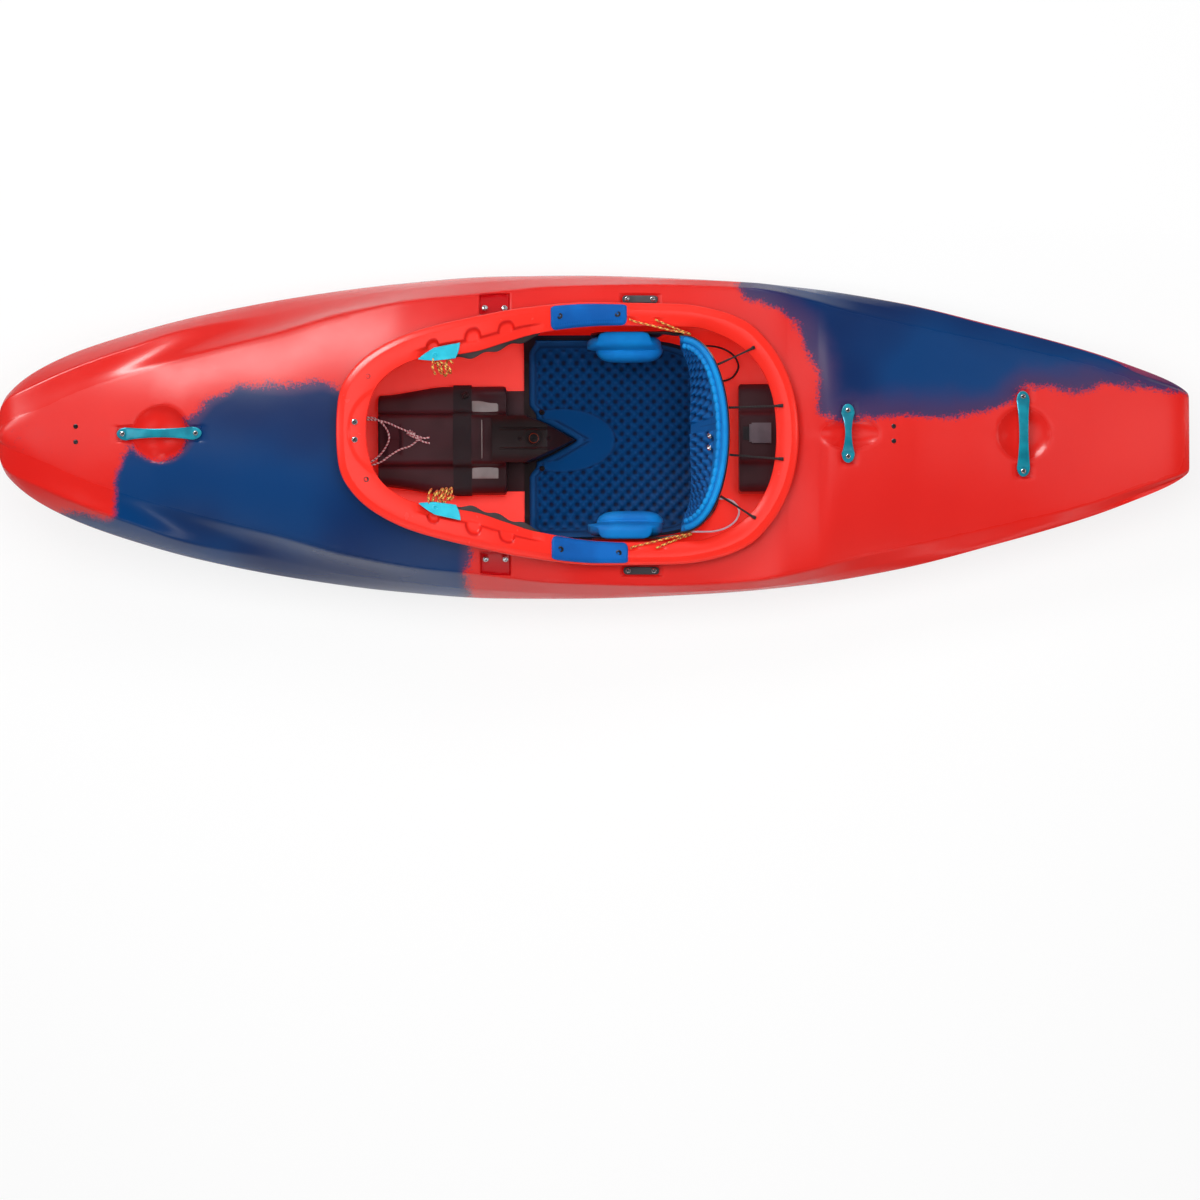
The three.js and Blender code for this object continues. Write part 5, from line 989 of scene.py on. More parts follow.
def knot(middle, along, radius, turns=2.6, pitch=5):
    """A few tight turns round a line: a helix about it"""
    along = np.asarray(along, float) / np.linalg.norm(along)
    side = np.cross(along, [0, 0, 1])
    up = np.cross(side, along)
    t = np.linspace(0, 2 * np.pi * turns, 48)[:, None]
    turn = side * np.cos(t) + up * np.sin(t)
    return np.asarray(middle) + along * pitch * (t / (2 * np.pi) - turns / 2) + radius * turn


def make_free_cords():
    """The footrest's grab cord with its knot and tails, the drag loops, and the spare cord below the pull tabs"""
    thick, hold = 3.5, ("footrest", "hull", (-0.49, 0, 0.1), (-0.40, 0, 0.1))
    windings = {"grab_cord_knot": knot((-366, 11.5, 92), (12, -6.5, 0), 4.2),
                "grab_cord_end_knot": knot((-350, 1, 93.5), (12, -8, 0), 3.6, 1.7, 4)}
    knots = [rope(name, path, thick / 2, "pale_cord", "hull", 8) for name, path in windings.items()]
    tails = [[(-372, 14, 91), (-360, 8, 94), (-350, 5, 95), (-340, 2, 93), (-329, 4, 92)],
             [(-372, 10, 91), (-360, 4, 93), (-350, -1, 94), (-341, -5, 93), (-329, -8, 92)]]
    second = [(-470, 42, 102), (-436, 41, 98), (-418, 26, 96), (-409, 5, 95), (-418, -19, 95), (-438, -40, 96),
              (-464, -53, 101)]
    cord = free_cord("grab_cord_run", smooth_path(GRAB_ROUTE, 3), thick, "pale_cord", None, node="grab_cord")
    loop = free_cord("grab_cord_loop", smooth_path(second), thick, "pale_cord", None)
    for thing in (cord, loop):
        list(hold)
        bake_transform(thing)
    for number, tail in enumerate(tails):
        free_cord(f"grab_cord_tail_{number + 1}", smooth_path(tail, 2), thick, "pale_cord", "hull")
    for word, side in SIDES:
        paint = "bungee" if side > 0 else "clear"
        path = smooth_path(np.array(DRAG_ROUTE) * [1, side, 1], 3)
        free_cord(f"drag_loop_run_{word}", path, 4, paint, "seat", node=f"drag_loop_{word}", slot="pale_cord")
        spare_cord(word, side)


def spare_cord(word, side):
    """The bundle below a pull tab: an uneven coil that advances by 9 mm a turn"""
    start, loops = {1: (-313, 4), -1: (-322, 5)}[side]
    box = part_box(f"cord_bundle_{word}")
    top = box[1][2] / MM - 2
    edge = max(abs(box[0][1]), abs(box[1][1])) / MM - 2.2
    t = np.linspace(0, loops, 30 * loops + 1)
    angle = 2 * np.pi * t + 0.5 * np.sin(2 * np.pi * t * 0.41 + side) * ease(t, 0, 0.6)
    wobble = 1 + (0.2 * np.sin(t * 5.1 + 2 * side) + 0.12 * np.sin(t * 9.3)) * ease(t, 0.1, 0.7)
    y = side * (123 - 12 * wobble * np.sin(angle) - 3 * np.sin(t * 2.9) * ease(t, 0, 1))
    x = start + 9 * t + 7 * np.sin(angle + 0.9) * ease(t, 0, 0.5)
    coil = np.stack([x, y, top - 12 * wobble * (1 - np.cos(angle))], 1)
    lead = np.array([[start, side * edge, top], [start, side * (edge - 4), top]])
    path = smooth_path(np.concatenate([lead, coil]), 1.5)
    free_cord(f"spare_cord_{word}", path, 4, "orange_cord", f"pull_tab_{word}",
              f"cord_bundle_{word}")


def make_taut_cords():
    """The elastic and the adjusting cords, each in a front half and a rear half"""
    for word, route in BUNGEE_ROUTES.items():
        path = smooth_path(route)
        path[-1, 2] = max(path[-1, 2], flange_height(path[-1, 0], path[-1, 1]) + 4)
        share = np.linspace(0, 1, len(path))
        path[:, 2] = np.maximum(path[:, 2], flange_height(path[:, 0], path[:, 1]) * (share > 0.8) + 3.5)
        radius = 2.6 - 0.7 * np.sin(np.pi * share) + 0.9 * ease(share, 0.9, 0.93)
        half, name = len(path) // 2, f"bungee_{word}"
        for end, cut, bodies, node in (("front", slice(0, half + 1), ("backband", "seat"), name),
                                       ("rear", slice(half, None), ("seat", "hull"), None)):
            taut_cord(f"{name}_{end}", path[cut], radius[cut], "bungee", bodies, node)
    for word, side in SIDES:
        path = smooth_path(np.array(ADJUSTING_ROUTE) * [1, side, 1], 3)
        low = np.where(np.abs(path[:, 1]) > 203, flange_height(path[:, 0], path[:, 1]) + 2.3, 0)
        path[:, 2] = np.maximum(path[:, 2], low)
        turn, name = int(np.argmax(path[:, 0])), f"adjusting_cord_{word}"
        for which, run in (("outer", path[:turn + 1]), ("inner", path[turn:][::-1])):
            near = np.searchsorted(run[:, 0], 146)
            node = name if which == "outer" else None
            taut_cord(f"{name}_{which}_front", run[:near + 1], 2.0, "orange_cord", ("hull", "seat"), node)
            taut_cord(f"{name}_{which}_rear", run[near:], 2.0, "orange_cord", ("seat", "backband"))


# Solids between a lower and an upper grid

def block(low, high):
    """A solid between two grids of points: both sheets, and a strip along each of their four borders"""
    low, high = np.asarray(low, float), np.asarray(high, float)
    borders = [np.stack([low[edge], high[edge]], 1) for edge in (0, -1)]
    borders += [np.stack([low[:, edge], high[:, edge]], 1) for edge in (0, -1)]
    return join([sheet(low), sheet(high), *map(sheet, borders)])


def over_top(part, values):
    """Values on the points of a block's upper grid, and nothing on its other points"""
    whole = np.zeros(len(part[0]))
    whole[values.size:2 * values.size] = values.ravel()
    return whole


def slab(x, y, low, high):
    """A solid between two heights over a grid of places"""
    return block(field(x, y, low), field(x, y, high))


def block_uv(part, across, along):
    """The UV of a block's two sheets, across it and in metres along it"""
    flat = field(across, along).reshape(-1, 2)
    return np.concatenate([flat, flat, np.zeros((len(part[0]) - 2 * len(flat), 2))])


# The seat's outline, how high its wings rise, and how far its pad's underside lies over its base
SEAT_FRONT, SEAT_REAR, SEAT_WIDTH, WING_HEIGHT, PAD_LEVEL = -143, 250, 408, 78, 4.35
SEAT_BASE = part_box("seat_pan")[0][2] / MM


def wing_rise(y):
    return WING_HEIGHT * np.clip((np.abs(y) - 150) / 54, 0, 1) ** 1.5


def seat_rear(y, width):
    reach = np.clip(np.abs(y) / (width / 2), 0, 0.985)
    return mix(SEAT_FRONT, SEAT_REAR, (1 - reach ** 5) ** 0.2)


def tongue_edge(y, away=0):
    """The tongue's outline in front of the seat: a point with a rounded tip and hollow sides"""
    reach = np.clip(1 - np.abs(y) / (46 + away), 0, 1)
    return mix(SEAT_FRONT, -42 + away, reach ** 0.8)


def crate(u, v, pitch):
    """An egg-crate from -1 in the pits to 1: the product of two cosines, so its rows are half a pitch apart"""
    level = np.cos(2 * np.pi * u / pitch) * np.cos(2 * np.pi * v / pitch)
    return np.where(level > 0, np.abs(level) ** 0.8, -np.abs(level) ** 1.3)


def make_seat():
    """Pan, pad with its egg-crate face, tongue with its ribs and holes, and the two pad screws"""
    y = SEAT_WIDTH / 2 * row(-1, 1, 81)
    t = cosine(60)[:, None]
    x = mix(SEAT_FRONT, seat_rear(y, SEAT_WIDTH), t)
    base = SEAT_BASE + wing_rise(y)
    y = y * (1 - 0.022 * ease(t, 0.5, 1))
    piece("seat_pan", [slab(x, y, base + 1.2, base + 4)], "black_plastic", "seat")

    half = 196
    y = half * np.sin(row(-1, 1, 190) * np.pi / 2 * 0.999)
    y = mix(y, half * row(-1, 1, 190), 0.85)
    t = mix(cosine(190), np.linspace(0, 1, 191), 0.85)[:, None]
    corner = 14 * (1 - ease(np.abs(np.abs(y) - 122), 74, 48))
    front, rear = np.maximum(SEAT_FRONT + 10 + corner, tongue_edge(y, 4)), seat_rear(y, 2 * half) - 10
    x = mix(front, rear, t)
    slants = [np.hypot(1, np.gradient(end[0], y[0]))[None, :] for end in (front, rear)]
    edge = np.minimum(np.minimum((x - front) / slants[0], (rear - x) / slants[1]), half - np.abs(y))
    low = SEAT_BASE + PAD_LEVEL + wing_rise(y)
    centre = np.hypot((x + 70) / 106, y / 62)
    around = ease(centre, 1.0, 1.05)
    bumpy = around * ease(edge, 16, 20)
    level = crate(x, y, 25.6)
    high = low + 10.5 * edge_roll(edge, 9) + bumpy * (4.4 * level + 0.6) + 1.8 * (1 - around) * ease(edge, 6, 12)
    high -= 1.4 * bell(edge, 13, 1.7)
    part = slab(x, y, low, np.maximum(high, low))
    # Painted shade: dark in the pits, along the groove inside the border and round the smooth middle
    pit_shade = bumpy * ease(-level, -0.1, 0.8) + 0.6 * bell(edge, 13, 2.2) + 0.5 * bell(centre, 1.02, 0.02)
    marks = {"pit_shade": over_top(part, pit_shade), "border": over_top(part, 1 - ease(edge, 9, 12))}
    piece("seat_pad", [part], "shaded_pad_foam", "seat", 60, marks)

    u, v = row(-1, 1, 71), cosine(90)[:, None]
    y = 46 * u
    tip = np.maximum(tongue_edge(y), SEAT_FRONT + 9)
    x = mix(-206, tip, v)
    slope = np.clip((x + 98) / 56, 0, 1)
    top = mix(104, 52, slope) - 8 * u ** 4
    top -= 2.2 * (1 - ease(np.abs(np.abs(y) - 20), 0.8, 2.5)) * ease(x, -196, -186) * ease(-60 - x, 0, 8)
    top -= 3.0 * (1 - ease(np.hypot(x + 151, y), 2.6, 4)) + 3.0 * (1 - ease(np.hypot(x + 94, y), 2.6, 4))
    top += 1.5 * (1 - ease(np.abs(np.hypot(x + 123, y) - 19), 1, 3))
    top -= 5 * (1 - ease(tip - x, 0, 6)) ** 2
    under = np.where(x < SEAT_FRONT + 0.4, 88.4, SEAT_BASE + 4.4)
    piece("seat_tongue", [slab(x, y, under, np.maximum(top, under + 1))], "black_plastic", "seat")
    for word, side in SIDES:
        place = (-108, side * 56, SEAT_BASE + 17.5)
        screw(f"seat_pad_screw_{word}", place, (0, 0, 1), 5.5, 3.4, "dark_metal", "seat")


# Screws and bolts

def button(place, outwards, radius, height, sides=36, socket=0.42, sink=1.5):
    """A button head with a hexagonal socket: rings of a profile turned round the direction outwards"""
    outwards = np.asarray(outwards, float) / np.linalg.norm(outwards)
    side = np.cross(outwards, [0.31, 0.87, 0.39])
    side /= np.linalg.norm(side)
    up = np.cross(outwards, side)
    turn = full_turn(sides)
    hexagon = math.cos(math.pi / 6) / np.cos((turn + math.pi / 6) % (math.pi / 3) - math.pi / 6)
    profile = [(0.9, 0, 0), (1, 0.06, 0), (1, 0.35, 0), (0.95, 0.62, 0), (0.83, 0.84, 0), (0.68, 0.96, 0),
               (socket + 0.1, 1, 0), (socket + 0.04, 1, 1), (socket, 0.95, 1), (socket, 0.3, 1)]
    rings = []
    for reach, level, six in profile:
        around = radius * reach * (hexagon if six else 1) * np.ones(sides)
        ring = np.cos(turn)[:, None] * side * around[:, None] + np.sin(turn)[:, None] * up * around[:, None]
        rings.append(ring + np.asarray(place) + outwards * (level * height - sink * (level == 0)))
    return loft(rings)


def screw(name, place, outwards, radius, height, paint, body):
    piece(name, [button(place, outwards, radius, height)], paint, body, 40)


def round_node(name):
    """Base centre, direction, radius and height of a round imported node: its flattest direction is its axis"""
    mesh = frame["nodes"][name].data
    points = np.empty(len(mesh.vertices) * 3, np.float32)
    mesh.vertices.foreach_get("co", points)
    points = points.reshape(-1, 3).astype(float) / MM
    middle = points.mean(axis=0)
    axis = np.linalg.eigh(np.cov((points - middle).T))[1][:, 0]
    away = [0, 0, 1] if abs(axis[2]) > 0.6 else [0, np.sign(middle[1]), 0]
    axis = axis * np.sign(axis @ away)
    level = (points - middle) @ axis
    reach = np.linalg.norm((points - middle) - level[:, None] * axis, axis=1).max()
    return middle + axis * level.min(), axis, float(reach), float(level.max() - level.min())


def make_bolts():
    """Every packed bolt gets its own head with a socket; the knob gets grips and a copper ring"""
    for name in frame["nodes"]:
        if "_bolt_" in name:
            screw(name, *round_node(name), "steel", "hull")
    turn = full_turn(72)
    grip = 1 - 0.05 * (np.cos(turn * 12) > 0.3)
    x, z, radius = -123, 104.35, 12.4
    rings = []
    for reach, level, rough in ((0.8, 0, 0), (0.97, 0.4, 1), (1, 1.2, 1), (1, 6.5, 1), (0.94, 8.2, 1), (0.8, 9, 0),
                                (0.62, 9, 0), (0.58, 7.6, 0), (0.2, 7.4, 0)):
        around = radius * reach * (grip if rough else 1)
        rings.append(field(x + around * np.cos(turn), around * np.sin(turn), z + level))
    piece("seat_knob", [loft(rings)], "dark_metal", "seat_knob")
    ring = [(x + 9.2 * math.cos(a), 9.2 * math.sin(a), z + 8.6) for a in np.linspace(0.2, 6.4, 30)]
    rope("seat_knob_ring", smooth_path(ring, 1.5), 0.8, "copper", "seat_knob", 8)


# Fittings on the rim

def flange_at(x, part):
    """A point of the rim's flange, from its crest at part 0 to its inner edge at part 1; below 0 it is the lip"""
    part = np.asarray(part, float)
    inner = np.clip(part, 0, 1)
    along = (x - mix(RIM_FRONT + CREST, OPENING_FRONT, inner)) / mix(RIM_LENGTH - 2 * CREST, OPENING_LENGTH, inner)
    sweep = sweep_of(along)
    over = np.clip(-part, 0, 1)
    y = mix(crest_width(sweep), opening_width(sweep), inner) + over * CREST * 0.86
    return y, rim_top(mix(RIM_FRONT, RIM_REAR, along)) - SLOPE * inner ** 1.8 - LIP_ROUND * over ** 1.6


def flange_height(x, y):
    """Height of the flange over a place: its part is found by going back and forth between both relations"""
    x, side = np.broadcast_arrays(np.asarray(x, float), np.abs(y))
    part = np.full(x.shape, 0.5)
    for _ in range(8):
        crest, edge = flange_at(x, 0 * part)[0], flange_at(x, 0 * part + 1)[0]
        guess = (crest - side) / np.maximum(crest - edge, 1)
        part = mix(part, np.clip(guess, 0, 1), 0.7)
    return flange_at(x, part)[1]


def rim_slab(x, part, low, high, side, inwards=0.0):
    """A solid that lies on the flange over a grid of places and parts, between two heights above it"""
    y, z = flange_at(x, part)
    return mirrored(slab(x, y - inwards, z + low, z + high), side)


def corner_cut(u, v, round_u, round_v):
    """Reach of a rounded rectangle along u for each v from -1 to 1: 1 in the middle, less at the corners"""
    over = np.clip((np.abs(v) - (1 - round_v)) / round_v, 0, 1)
    return 1 - round_u * (1 - np.sqrt(1 - over ** 2))


def make_rim_pads():
    """Soft pads over the rim: rounded corners, rolled edges, a stitched line, a groove and two screws"""
    u, v = column(-1, 1, 121), row(-1, 1, 49)
    middle, half = -13, 74
    cut = corner_cut(u, v, 0.14, 0.42)
    x, part = middle + half * u * cut, mix(-0.85, 0.985, (v + 1) / 2)
    gap = half - np.abs(x - middle)
    border = np.minimum(gap, 24 * (1 - np.abs(v)))
    border = np.minimum(border, half * (cut - np.abs((x - middle) / half)) + 0 * v)
    stitch = bell(v, 0.74, 0.05) * (0.5 + 0.5 * np.cos(2 * np.pi * x / 4.6))
    high = 0.3 + 6.2 * edge_roll(border, 5) - 0.9 * stitch - 0.5 * bell(v, -0.62, 0.05) * ease(gap, 3, 8)
    for word, side in SIDES:
        piece(f"rim_pad_{word}", [rim_slab(x, part, 0.3, high, side)], "blue_foam", "hull", 60)
        for end, where in (("front", -70), ("rear", 42.5)):
            y, z = flange_at(where, 0.30)
            place = (where, side * float(y), float(z) + 5.2)
            screw(f"rim_pad_screw_{word}_{end}", place, (0.02, side * 0.12, 1), 6.2, 2.4, "dark_metal", "hull")


def make_pull_tabs():
    """Thin flexible tabs on the flange's inner part: a point in front, a slanting rear end, border and hole"""
    u, v = column(0, 1, 101), row(0, 1, 41)
    middle = mix(-341, -261, u ** 0.9)
    opening = np.clip((middle + 341) / 30, 0.06, 1) ** 0.7
    part = mix(0.8 - 0.36 * opening, 0.8 + 0.2 * opening, v) * (1 + 0 * u)
    x = middle - 9 * v * u ** 2 + 2 * np.sin(np.pi * v) * u ** 8
    border = np.minimum(np.minimum(u, 1 - u) * 70, np.minimum(v, 1 - v) * 34 * opening)
    lift = 2.0 * np.sin(np.pi * u) * (1 - v) ** 2
    hole = np.hypot(x + 309, (v - 0.55) * 30 * opening)
    high = 3.3 - 0.7 * ease(border, 2.2, 3.4) * ease(hole, 5.0, 6.2) - 1.9 * (1 - ease(hole, 2.4, 3.2))
    high = np.maximum(high * edge_roll(border, 1.2), 0.5)
    for word, side in SIDES:
        tab = rim_slab(x, part, 0.35 + lift, lift + high, side, 8)
        piece(f"pull_tab_{word}", [tab], "tab_plastic", f"pull_tab_{word}", 60)


def oval(count, power):
    """Points of a rounded box of half size 1: a superellipse"""
    turn = full_turn(count)
    return [np.sign(wave) * np.abs(wave) ** (2 / power) for wave in (np.cos(turn), np.sin(turn))]


def make_eyelets():
    """Small closed rings in the rim's three cord holes"""
    turn = full_turn(28)
    profile = [(5.0, -1.2), (5.0, 0.1), (4.4, 0.5), (3.7, 0.3), (3.3, -0.4), (3.0, -1.0)]
    for number, (x, y, lift, paint) in enumerate((
            (-437, 105, 0.2, "red_shade"), (-441, -93, 0.2, "black_plastic"), (375, 2, 0.4, "black_plastic"))):
        z = float(flange_height(x, y)) + lift
        rings = [field(x + r * np.cos(turn), y + r * np.sin(turn), z + up) for r, up in profile]
        piece(f"rim_hole_{number + 1}", [loft(rings)], paint, "hull", 60, slot="hull")


def make_thigh_braces():
    """Lumpy moulded foam under the thigh lobes: a rounded box whose inner side swells four times"""
    x = mix(-284, -108, cosine(90))[:, None]
    across, up = (values[None, :] for values in oval(44, 3.2))
    edge, top = flange_at(x, 1 + 0 * x)
    share = (x + 284) / 176
    full = np.sqrt(1 - np.abs(2 * share - 1) ** 6)
    swell = 3.2 * np.cos(2 * np.pi * (share * 3.5 + 0.12))
    inner = edge - (9 + swell) * full
    outer = edge + mix(10, 44, full)
    y = mix((inner + outer) / 2, np.where(across > 0, outer, inner), np.abs(across))
    fold = 1.6 * np.cos(2 * np.pi * (share * 7 + 0.3)) * (across < 0)
    z = top - 9.6 - 7.2 + up * np.where(up > 0, 4.2, 6.9) * full + fold * full * (up < 0)
    part = loft(field(x, y, z))
    for word, side in SIDES:
        piece(f"thigh_brace_{word}", [mirrored(part, side)], "black_foam", "hull", 60)


# Fittings on the deck

def plain_deck(x, y):
    """The deck with its dishes and without its pockets"""
    return deck_height(x, y) + deck_sink(x, y) - deck_sink(x, y, pockets=False)


def make_side_plates():
    """Bars with round ends and a fine net pattern, each under two screws"""
    centre, half, wide = 87, 35, 7.5
    shoulder = HALF_BEAM * float(shoulder_width_at(share_of(centre)))
    middle = mix(float(wall_half_width(centre)), shoulder, 0.507)
    u, v = column(-1, 1, 121), row(-1, 1, 21)
    cut = corner_cut(u, v, 0.2, 0.95)
    x, y = centre + half * u * cut, middle + wide * v + 0 * u
    border = np.minimum(wide * (1 - np.abs(v)), half * (cut - np.abs(x - centre) / half))
    net = np.maximum(np.cos(2 * np.pi * (x + y) / 4.2), np.cos(2 * np.pi * (x - y) / 4.2))
    base = plain_deck(x, y)
    high = base + 0.35 + 2.6 * edge_roll(border, 1.5) + np.minimum(0.35 * net * ease(border, 0.8, 2), 0.35)
    part = slab(x, y, base - 2.6, high)
    for word, side in SIDES:
        piece(f"seat_side_plate_{word}", [mirrored(part, side)], "grey_plastic", "hull", 50)
        for end, where in (("front", 61.5), ("rear", 111.5)):
            place = (where, side * middle, float(plain_deck(where, middle)) + 3)
            screw(f"side_plate_screw_{word}_{end}", place, (0, side * 0.1, 1), 4.8, 2.6, "steel", "hull")


def make_handle(name, x, length, foot_width, waist, across):
    """A flat bar that arches over its dish: wide feet, a narrow waist, a rounded-box section"""
    reach = length / 2
    inner = reach - 19
    along = -reach * np.cos(np.pi * np.linspace(0, 1, 81))

    def foot(run):
        sides = [-foot_width / 2, 0, foot_width / 2]
        places = [(x + off, run) if across else (x + run, off) for off in sides]
        return np.maximum.reduce([plain_deck(*place) for place in places]) + 0.3

    part = np.clip((along + inner) / (2 * inner), 0, 1)
    bow = np.sin(np.pi * part) ** 0.8
    arch = mix(foot(-inner), foot(inner), part) + 14 * bow
    base = np.where(np.abs(along) >= inner, foot(along), np.maximum(arch, foot(along)))
    round_end = np.sqrt(1 - np.clip((np.abs(along) - inner) / 19, 0, 0.999) ** 2)
    half = mix(foot_width, waist, bow) / 2 * round_end
    flat, up = (values[None, :] for values in oval(36, 4.5))
    wide, high = half[:, None] * flat, base[:, None] + 2.25 + 2.25 * up
    run = along[:, None] + 0 * flat
    rings = field(x + wide, run, high) if across else field(x + run, wide, high)
    piece(name, [loft(rings)], "handle", "hull", 60)


def make_deck_fittings():
    make_side_plates()
    make_handle("bow_handle", -0.36336 * LENGTH, 165, 25, 17, False)
    make_handle("security_handle", RIM_REAR + 96, 115, 26, 13, True)
    make_handle("stern_handle", 0.36034 * LENGTH, 168, 26, 18, True)
    for end, where, half in (("bow", -1005, 15), ("stern", 581, 14.4)):
        for word, side in SIDES:
            place = (where, side * half, float(deck_height(where, half)))
            screw(f"{end}_pillar_screw_{word}", place, (0, 0, 1), 4.6, 1.8, "dark_metal", "hull")


# Inside the hull

def section_loft(x, chain, rounds, steps, ends=6.0):
    """A solid of one rounded outline along x; it draws in over the last millimetres, so that its ends are round"""
    half = rounded(chain, rounds, steps)
    outline = np.concatenate([half, half[:, ::-1][:, 1:-1] * [-1, 1]], 1)
    gap = np.minimum(x - x[0], x[-1] - x)
    draw = ends * (1 - edge_roll(gap, ends))
    middle = outline.mean(axis=1, keepdims=True)
    away = outline - middle
    size = np.abs(away).max(axis=1, keepdims=True)
    return loft(at_places(x, middle + away * (1 - draw[:, None, None] / size)))


def inner_floor(x):
    return DECK_TOP * keel_at(share_of(x)) + WALL + 0.6


def console_chain(x, width, shelf, ridge, away=0.0, narrow=1.0, floor=None):
    """Half of a console's outline at each place: side, chamfer, shelf, and the raised ridge in the middle"""
    width = width * narrow
    floor = inner_floor(x) + 3 if floor is None else floor
    half = [(0, floor), (width / 2 + away, floor), (width / 2 + away, shelf - 12),
            (width / 2 - 12 + away, shelf + away), (54 + away, shelf + away), (48 + away, ridge - 4 + away),
            (42, ridge + away), (0, ridge + away)]
    return np.stack([field(y + 0 * x, z) for y, z in half], 1)


def make_consoles():
    """Foam-filled consoles with a raised ridge, and on the front one a strap with its clip, worn patches, and a
    pale rod along its groove as a painted highlight
    """
    rounds, steps = [0, 0.02, 0.3, 0.3, 0.25, 0.3, 0.3, 0], [0, 4, 7, 7, 7, 7, 7, 0]
    # Width of the front console, and heights of its shelf and ridge
    sizes = (214, 66, 88)
    x = mix(-432, -178, cosine(90))
    chain = console_chain(x, *sizes, 0, 0.84 + 0.16 * ease(x, -430, -290))
    points, faces = section_loft(x, chain, rounds, steps)
    along, across, up = points.T.copy()
    hollow = (1 - ease(np.hypot((along + 430) / 46, across / 33), 0.86, 1.0)) * (up > 60)
    groove = bell(along, -226, 1.6) * (np.abs(across) < 40) * (up > 80)
    hump = 9 * (1 - ease(np.hypot((along + 208) / 44, (across - 96) / 21), 0.2, 1.0)) * (up > 50)
    points[:, 2] += hump - 14 * hollow - 2.5 * groove
    piece("front_console", [(points, faces)], "console", "hull", 40)
    v = row(-1, 1, 31)
    x, y = mix(-179, -118, cosine(30)[:, None]) + 0 * v, 100 * v
    skirt = slab(x, y, inner_floor(x) + 1, 13.4 - 3 * np.abs(v) ** 6)
    piece("console_skirt", [skirt], "console", "hull", 40)
    x = mix(282, 545, cosine(60))
    piece("rear_console", [section_loft(x, console_chain(x, 216, 100, 112), rounds, steps)], "glossy", "hull", 40)
    u, v = column(0, 1, 25), row(0, 1, 17)
    bulge = 0.5 + 1.6 * (np.sin(np.pi * u) * np.sin(np.pi * v)) ** 0.4
    patch = slab(mix(-246, -194, u), mix(52, 77, v), 66.2 + 0 * bulge, 66.2 + bulge)
    for word, side in SIDES:
        piece(f"console_patch_{word}", [mirrored(patch, side)], "satin", "hull", 40)
    x, grids = np.linspace(-283, -247, 9), []
    for away in (0.35, 2.6):
        chain = console_chain(x, *sizes, away, 1.0, inner_floor(x) + 14)
        half = rounded(chain[:, 1:], rounds[1:], steps[1:])
        grids.append(at_places(x, np.concatenate([half, half[:, ::-1][:, 1:] * [-1, 1]], 1)))
    strap = block(*grids)
    uv = block_uv(strap, column(0, 1, 9), run_along(grids[1][4, :, 1:]) * MM)
    piece("console_strap", [strap], "webbing", "hull", 50, None, uv)
    # Painted highlight: a pale rod along the groove stands in for the highlight on the groove's edge
    seam = field(-226.0, np.linspace(-38, 38, 40), 86.6 - np.linspace(-1, 1, 40) ** 8)
    rope("console_seam", seam, 1.1, "satin", "hull")
    piece("strap_clip", [button((-259, 88, 68.2), (0, 0.1, 1), 9, 5, 4, 0.3)], "black_plastic", "hull", 40)


# The band's row: place of its ends along the hull, how far it reaches aft of them, and half its width; then the
# radius by which its angle is turned into a way along it
BAND_ENDS, BAND_DEPTH, BAND_HALF, BAND_ROUND = 163, 93, 190, 205


def band_row(angle, away):
    return BAND_ENDS + (BAND_DEPTH + away) * np.sin(angle) ** 0.9, (BAND_HALF + away) * np.cos(angle)


def band_levels(angle):
    full = np.sin(angle)
    return mix(194, 174, full), mix(246, 298, np.minimum(full * 1.5, 1))


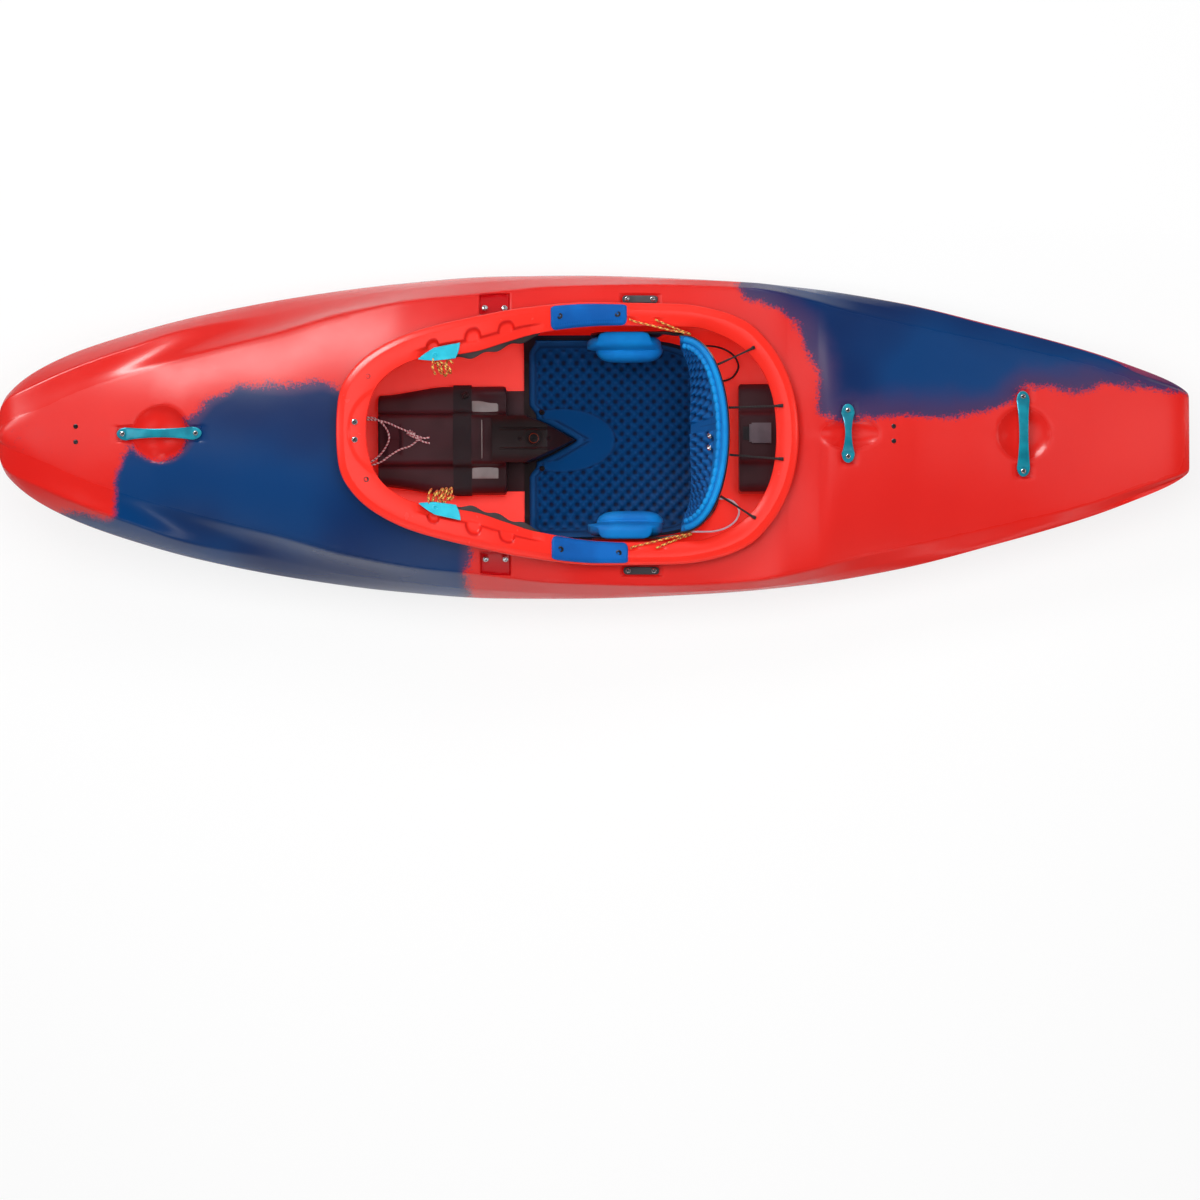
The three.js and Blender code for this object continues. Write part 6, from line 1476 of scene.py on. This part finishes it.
def make_backband():
    """A foam band on a shell: big nubs on the sloping inner face, a ring on top and a beaded edge in it, both
    painted a lighter blue as light falling on the top
    """
    end = 0.012
    angle, v = column(end, np.pi - end, 421), row(0, 1, 81)
    z = mix(*band_levels(angle), v)
    full = np.sin(angle) ** 0.5
    outer = band_row(angle, 0 * z)
    arc = BAND_ROUND * (angle - np.pi / 2)
    panel = 1 - ease(np.abs(arc + 22), 15, 18)
    mask = ease(v, 0.05, 0.12) * (1 - ease(v, 0.74, 0.8)) * ease(np.sin(angle), 0.06, 0.14) * (1 - panel)
    thick = 17.5 * mix(0.55, 1, full) + 60 * (1 - v) ** 1.1 * full
    ends = np.sqrt(np.clip(1 - (1 - np.clip(np.minimum(angle, np.pi - angle) / 0.05, 0, 1)) ** 2, 0.02, 1))
    rolled = edge_roll(np.minimum(v * 1.2, 1 - v), 0.09)
    level = crate(arc, 82 * v, 31)
    reach = thick * mix(0.35, 1, rolled) * ends + mask * 6.2 * level - 1.6 * panel
    inner = band_row(angle, -np.maximum(reach, 1))
    foam = block(field(*outer, z), field(*inner, z))
    # Painted shade: dark in the pits, and a dark line down the smooth panel as the shade of a gap
    pit_shade = mask * ease(-level, -0.1, 0.8) + 0.7 * bell(arc, -22, 0.9) * ease(v, 0.3, 0.4)
    # Painted light: the border tone on the band's top is lighter, as light that falls on it
    marks = {"pit_shade": over_top(foam, pit_shade), "border": over_top(foam, ease(v, 0.8, 0.84) + 0 * pit_shade)}
    piece("backband_foam", [foam], "band_foam", "backband", 60, marks)

    # The ring and beads are painted a lighter blue, as light falling on the band's top
    angle = np.linspace(0.1, np.pi - 0.1, 260)
    ring = np.stack([*band_row(angle, -6.5), band_levels(angle)[1] - 2.8], 1)
    rope("backband_ring", ring, 5.2, "lit_top_foam", "backband", 20)
    angle = np.linspace(0.1, np.pi - 0.1, 620)
    bead = np.stack([*band_row(angle, -18.5), band_levels(angle)[1] - 7.0], 1)
    beads = 3.2 + 2.4 * np.abs(np.cos(BAND_ROUND * angle * np.pi / 22)) ** 0.7
    rope("backband_beads", bead, beads, "lit_top_foam", "backband", 14)
    for number, y in enumerate((-5, -28)):
        x = float(band_row(np.arccos(y / 162), -35)[0])
        screw(f"backband_screw_{number + 1}", (x, y, 263), (-0.75, 0, 0.66), 6.4, 3, "steel", "backband")

    angle, v = column(0, np.pi, 181), row(0, 1, 25)
    low, high = band_levels(angle)
    z = mix(low + 4, high - 4, v)
    inner, outer = band_row(angle, 0.4 + 0 * z), band_row(angle, 2.6 + 1.2 * np.sin(np.pi * v) ** 0.3)
    piece("backband_shell", [block(field(*inner, z), field(*outer, z))], "black_plastic", "backband", 50)


def make_hips():
    """Brackets that stand on the seat's wings and end in lugs, and the two-lobed hip cushions on them"""
    wing = SEAT_BASE + WING_HEIGHT + PAD_LEVEL
    share = np.linspace(0, 1, 41)
    x = np.r_[mix(-10, 123, share), 132, 143, 154, 163, 169, 172]
    full = np.sqrt(1 - np.minimum(np.abs(2 * share - 1), 0.97) ** 4)
    top = np.r_[mix(wing + 26, 196, np.where(share < 0.5, full, 1)), 203, 207.5, 209, 209, 208, 205]
    bottom = np.r_[0 * share + wing, 182, 188, 191, 191, 193, 196]
    inner = np.r_[0 * share + 198, 198, 196.6, 194.7, 194.7, 194.7, 194.7]
    v = row(0, 1, 25)
    z = mix(bottom[:, None], top[:, None], v)
    gap = np.minimum(np.minimum(v, 1 - v) * (top - bottom)[:, None], np.minimum(x - x[0], x[-1] - x)[:, None])
    round_off = 1.6 * (1 - edge_roll(gap, 1.8))
    near, far = inner[:, None] + round_off, inner[:, None] + 6 - round_off
    part = block(field(x[:, None], near, z), field(x[:, None], far, z))
    for word, side in SIDES:
        piece(f"hip_bracket_{word}", [mirrored(part, side)], "black_plastic", "seat", 50)
        cushion(word, side)


def cushion(word, side):
    """One hip cushion: a tall lobe on the bracket, a lower, shorter one inside it, and a deep crease between"""
    u = -np.cos(np.pi * column(0, 1, 97))
    turn = full_turn(96)[None, :]
    reach = np.sqrt(np.clip(1 - np.abs(u) ** 4.2, 0.0004, 1))
    across, up = np.cos(turn), np.sin(turn)
    box = (np.abs(across) ** 3.2 + np.abs(up) ** 3.2) ** (-1 / 3.2)
    across, up = across * box, up * box
    inner = ease(-across, -0.12, 0.2)
    crease = 10 * bell(across, 0.08, 0.13) * (up > 0)
    tall = mix(np.where(up > 0, 60, 39), 30 + 3 * np.sin(np.pi * np.abs(across)), inner)
    x = 56 + mix(73, 66, inner) * u + 10 * inner
    z = 147 + (tall * up - crease) * reach
    y = 171.6 + 25.4 * across * reach ** np.where(across > 0, 0.4, 1)
    y = y + 14 * ease(across, 0.1, 0.6) * ease(z, 197, 199)
    made = piece(f"hip_pad_{word}", [mirrored(loft(field(x, y, z)), side)], "hip_foam", "seat", 180)


def make_pillars():
    """Foam walls that stand on the centre line in both ends, from the floor to the deck's underside"""
    for name, front, rear, dish in (("bow_pillar", -1050, -720, -840), ("stern_pillar", 552, 930, 837)):
        x = mix(front, rear, column(0, 1, 120))
        y = 38 * np.sin(row(-1, 1, 17) * np.pi / 2)
        roof = plain_deck(x, y) - WALL - 1.5
        lowest = float(plain_deck(float(dish), 0.0)) - WALL - 1.5
        roof = np.where(x < dish - 60, roof, np.minimum(roof, lowest))
        floor = inner_floor(x) + 6 + 0 * y
        soft = 3 * (1 - np.sqrt(np.clip(1 - (np.abs(y) / 38) ** 8, 0, 1)))
        piece(name, [slab(x, y, floor + soft, roof - soft)], "grey_foam", "hull", 50)


def make_webbing():
    """The strap that lies on the rear console: slightly wavy, with thinner edges"""
    (x0, y0, z0), (x1, y1, z1) = (np.array(corner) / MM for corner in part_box("buckle_webbing"))
    u, v = column(0, 1, 60), row(0, 1, 9)
    sag = 0.25 * np.sin(6 * u + 1) * np.sin(np.pi * u)
    x, y = mix(x0, x1, u) + 0 * v, mix(y0, y1, v) + 0 * u
    edge = 0.35 * (np.abs(2 * v - 1) > 0.85)
    strap = slab(x, y, z0 + 0.3 + sag, z1 - edge + np.minimum(sag, 0))
    piece("buckle_webbing", [strap], "webbing", "hull", 50, None, block_uv(strap, v, (x - x0) * MM))


for make in (make_free_cords, make_hull, make_rim, make_taut_cords, make_seat, make_hips, make_backband,
             make_consoles, make_webbing, make_pillars, make_rim_pads, make_pull_tabs, make_thigh_braces,
             make_eyelets, make_deck_fittings, make_bolts):
    make()

for name, thing in frame["nodes"].items():
    if not thing.hide_render:
        wanted = next(row["material_slot"] for row in frame["record"]["subparts"] if row["node"] == name)
        thing.data.materials.clear()
        thing.data.materials.append(PAINTS["buckle" if name.startswith("buckle") else wanted])
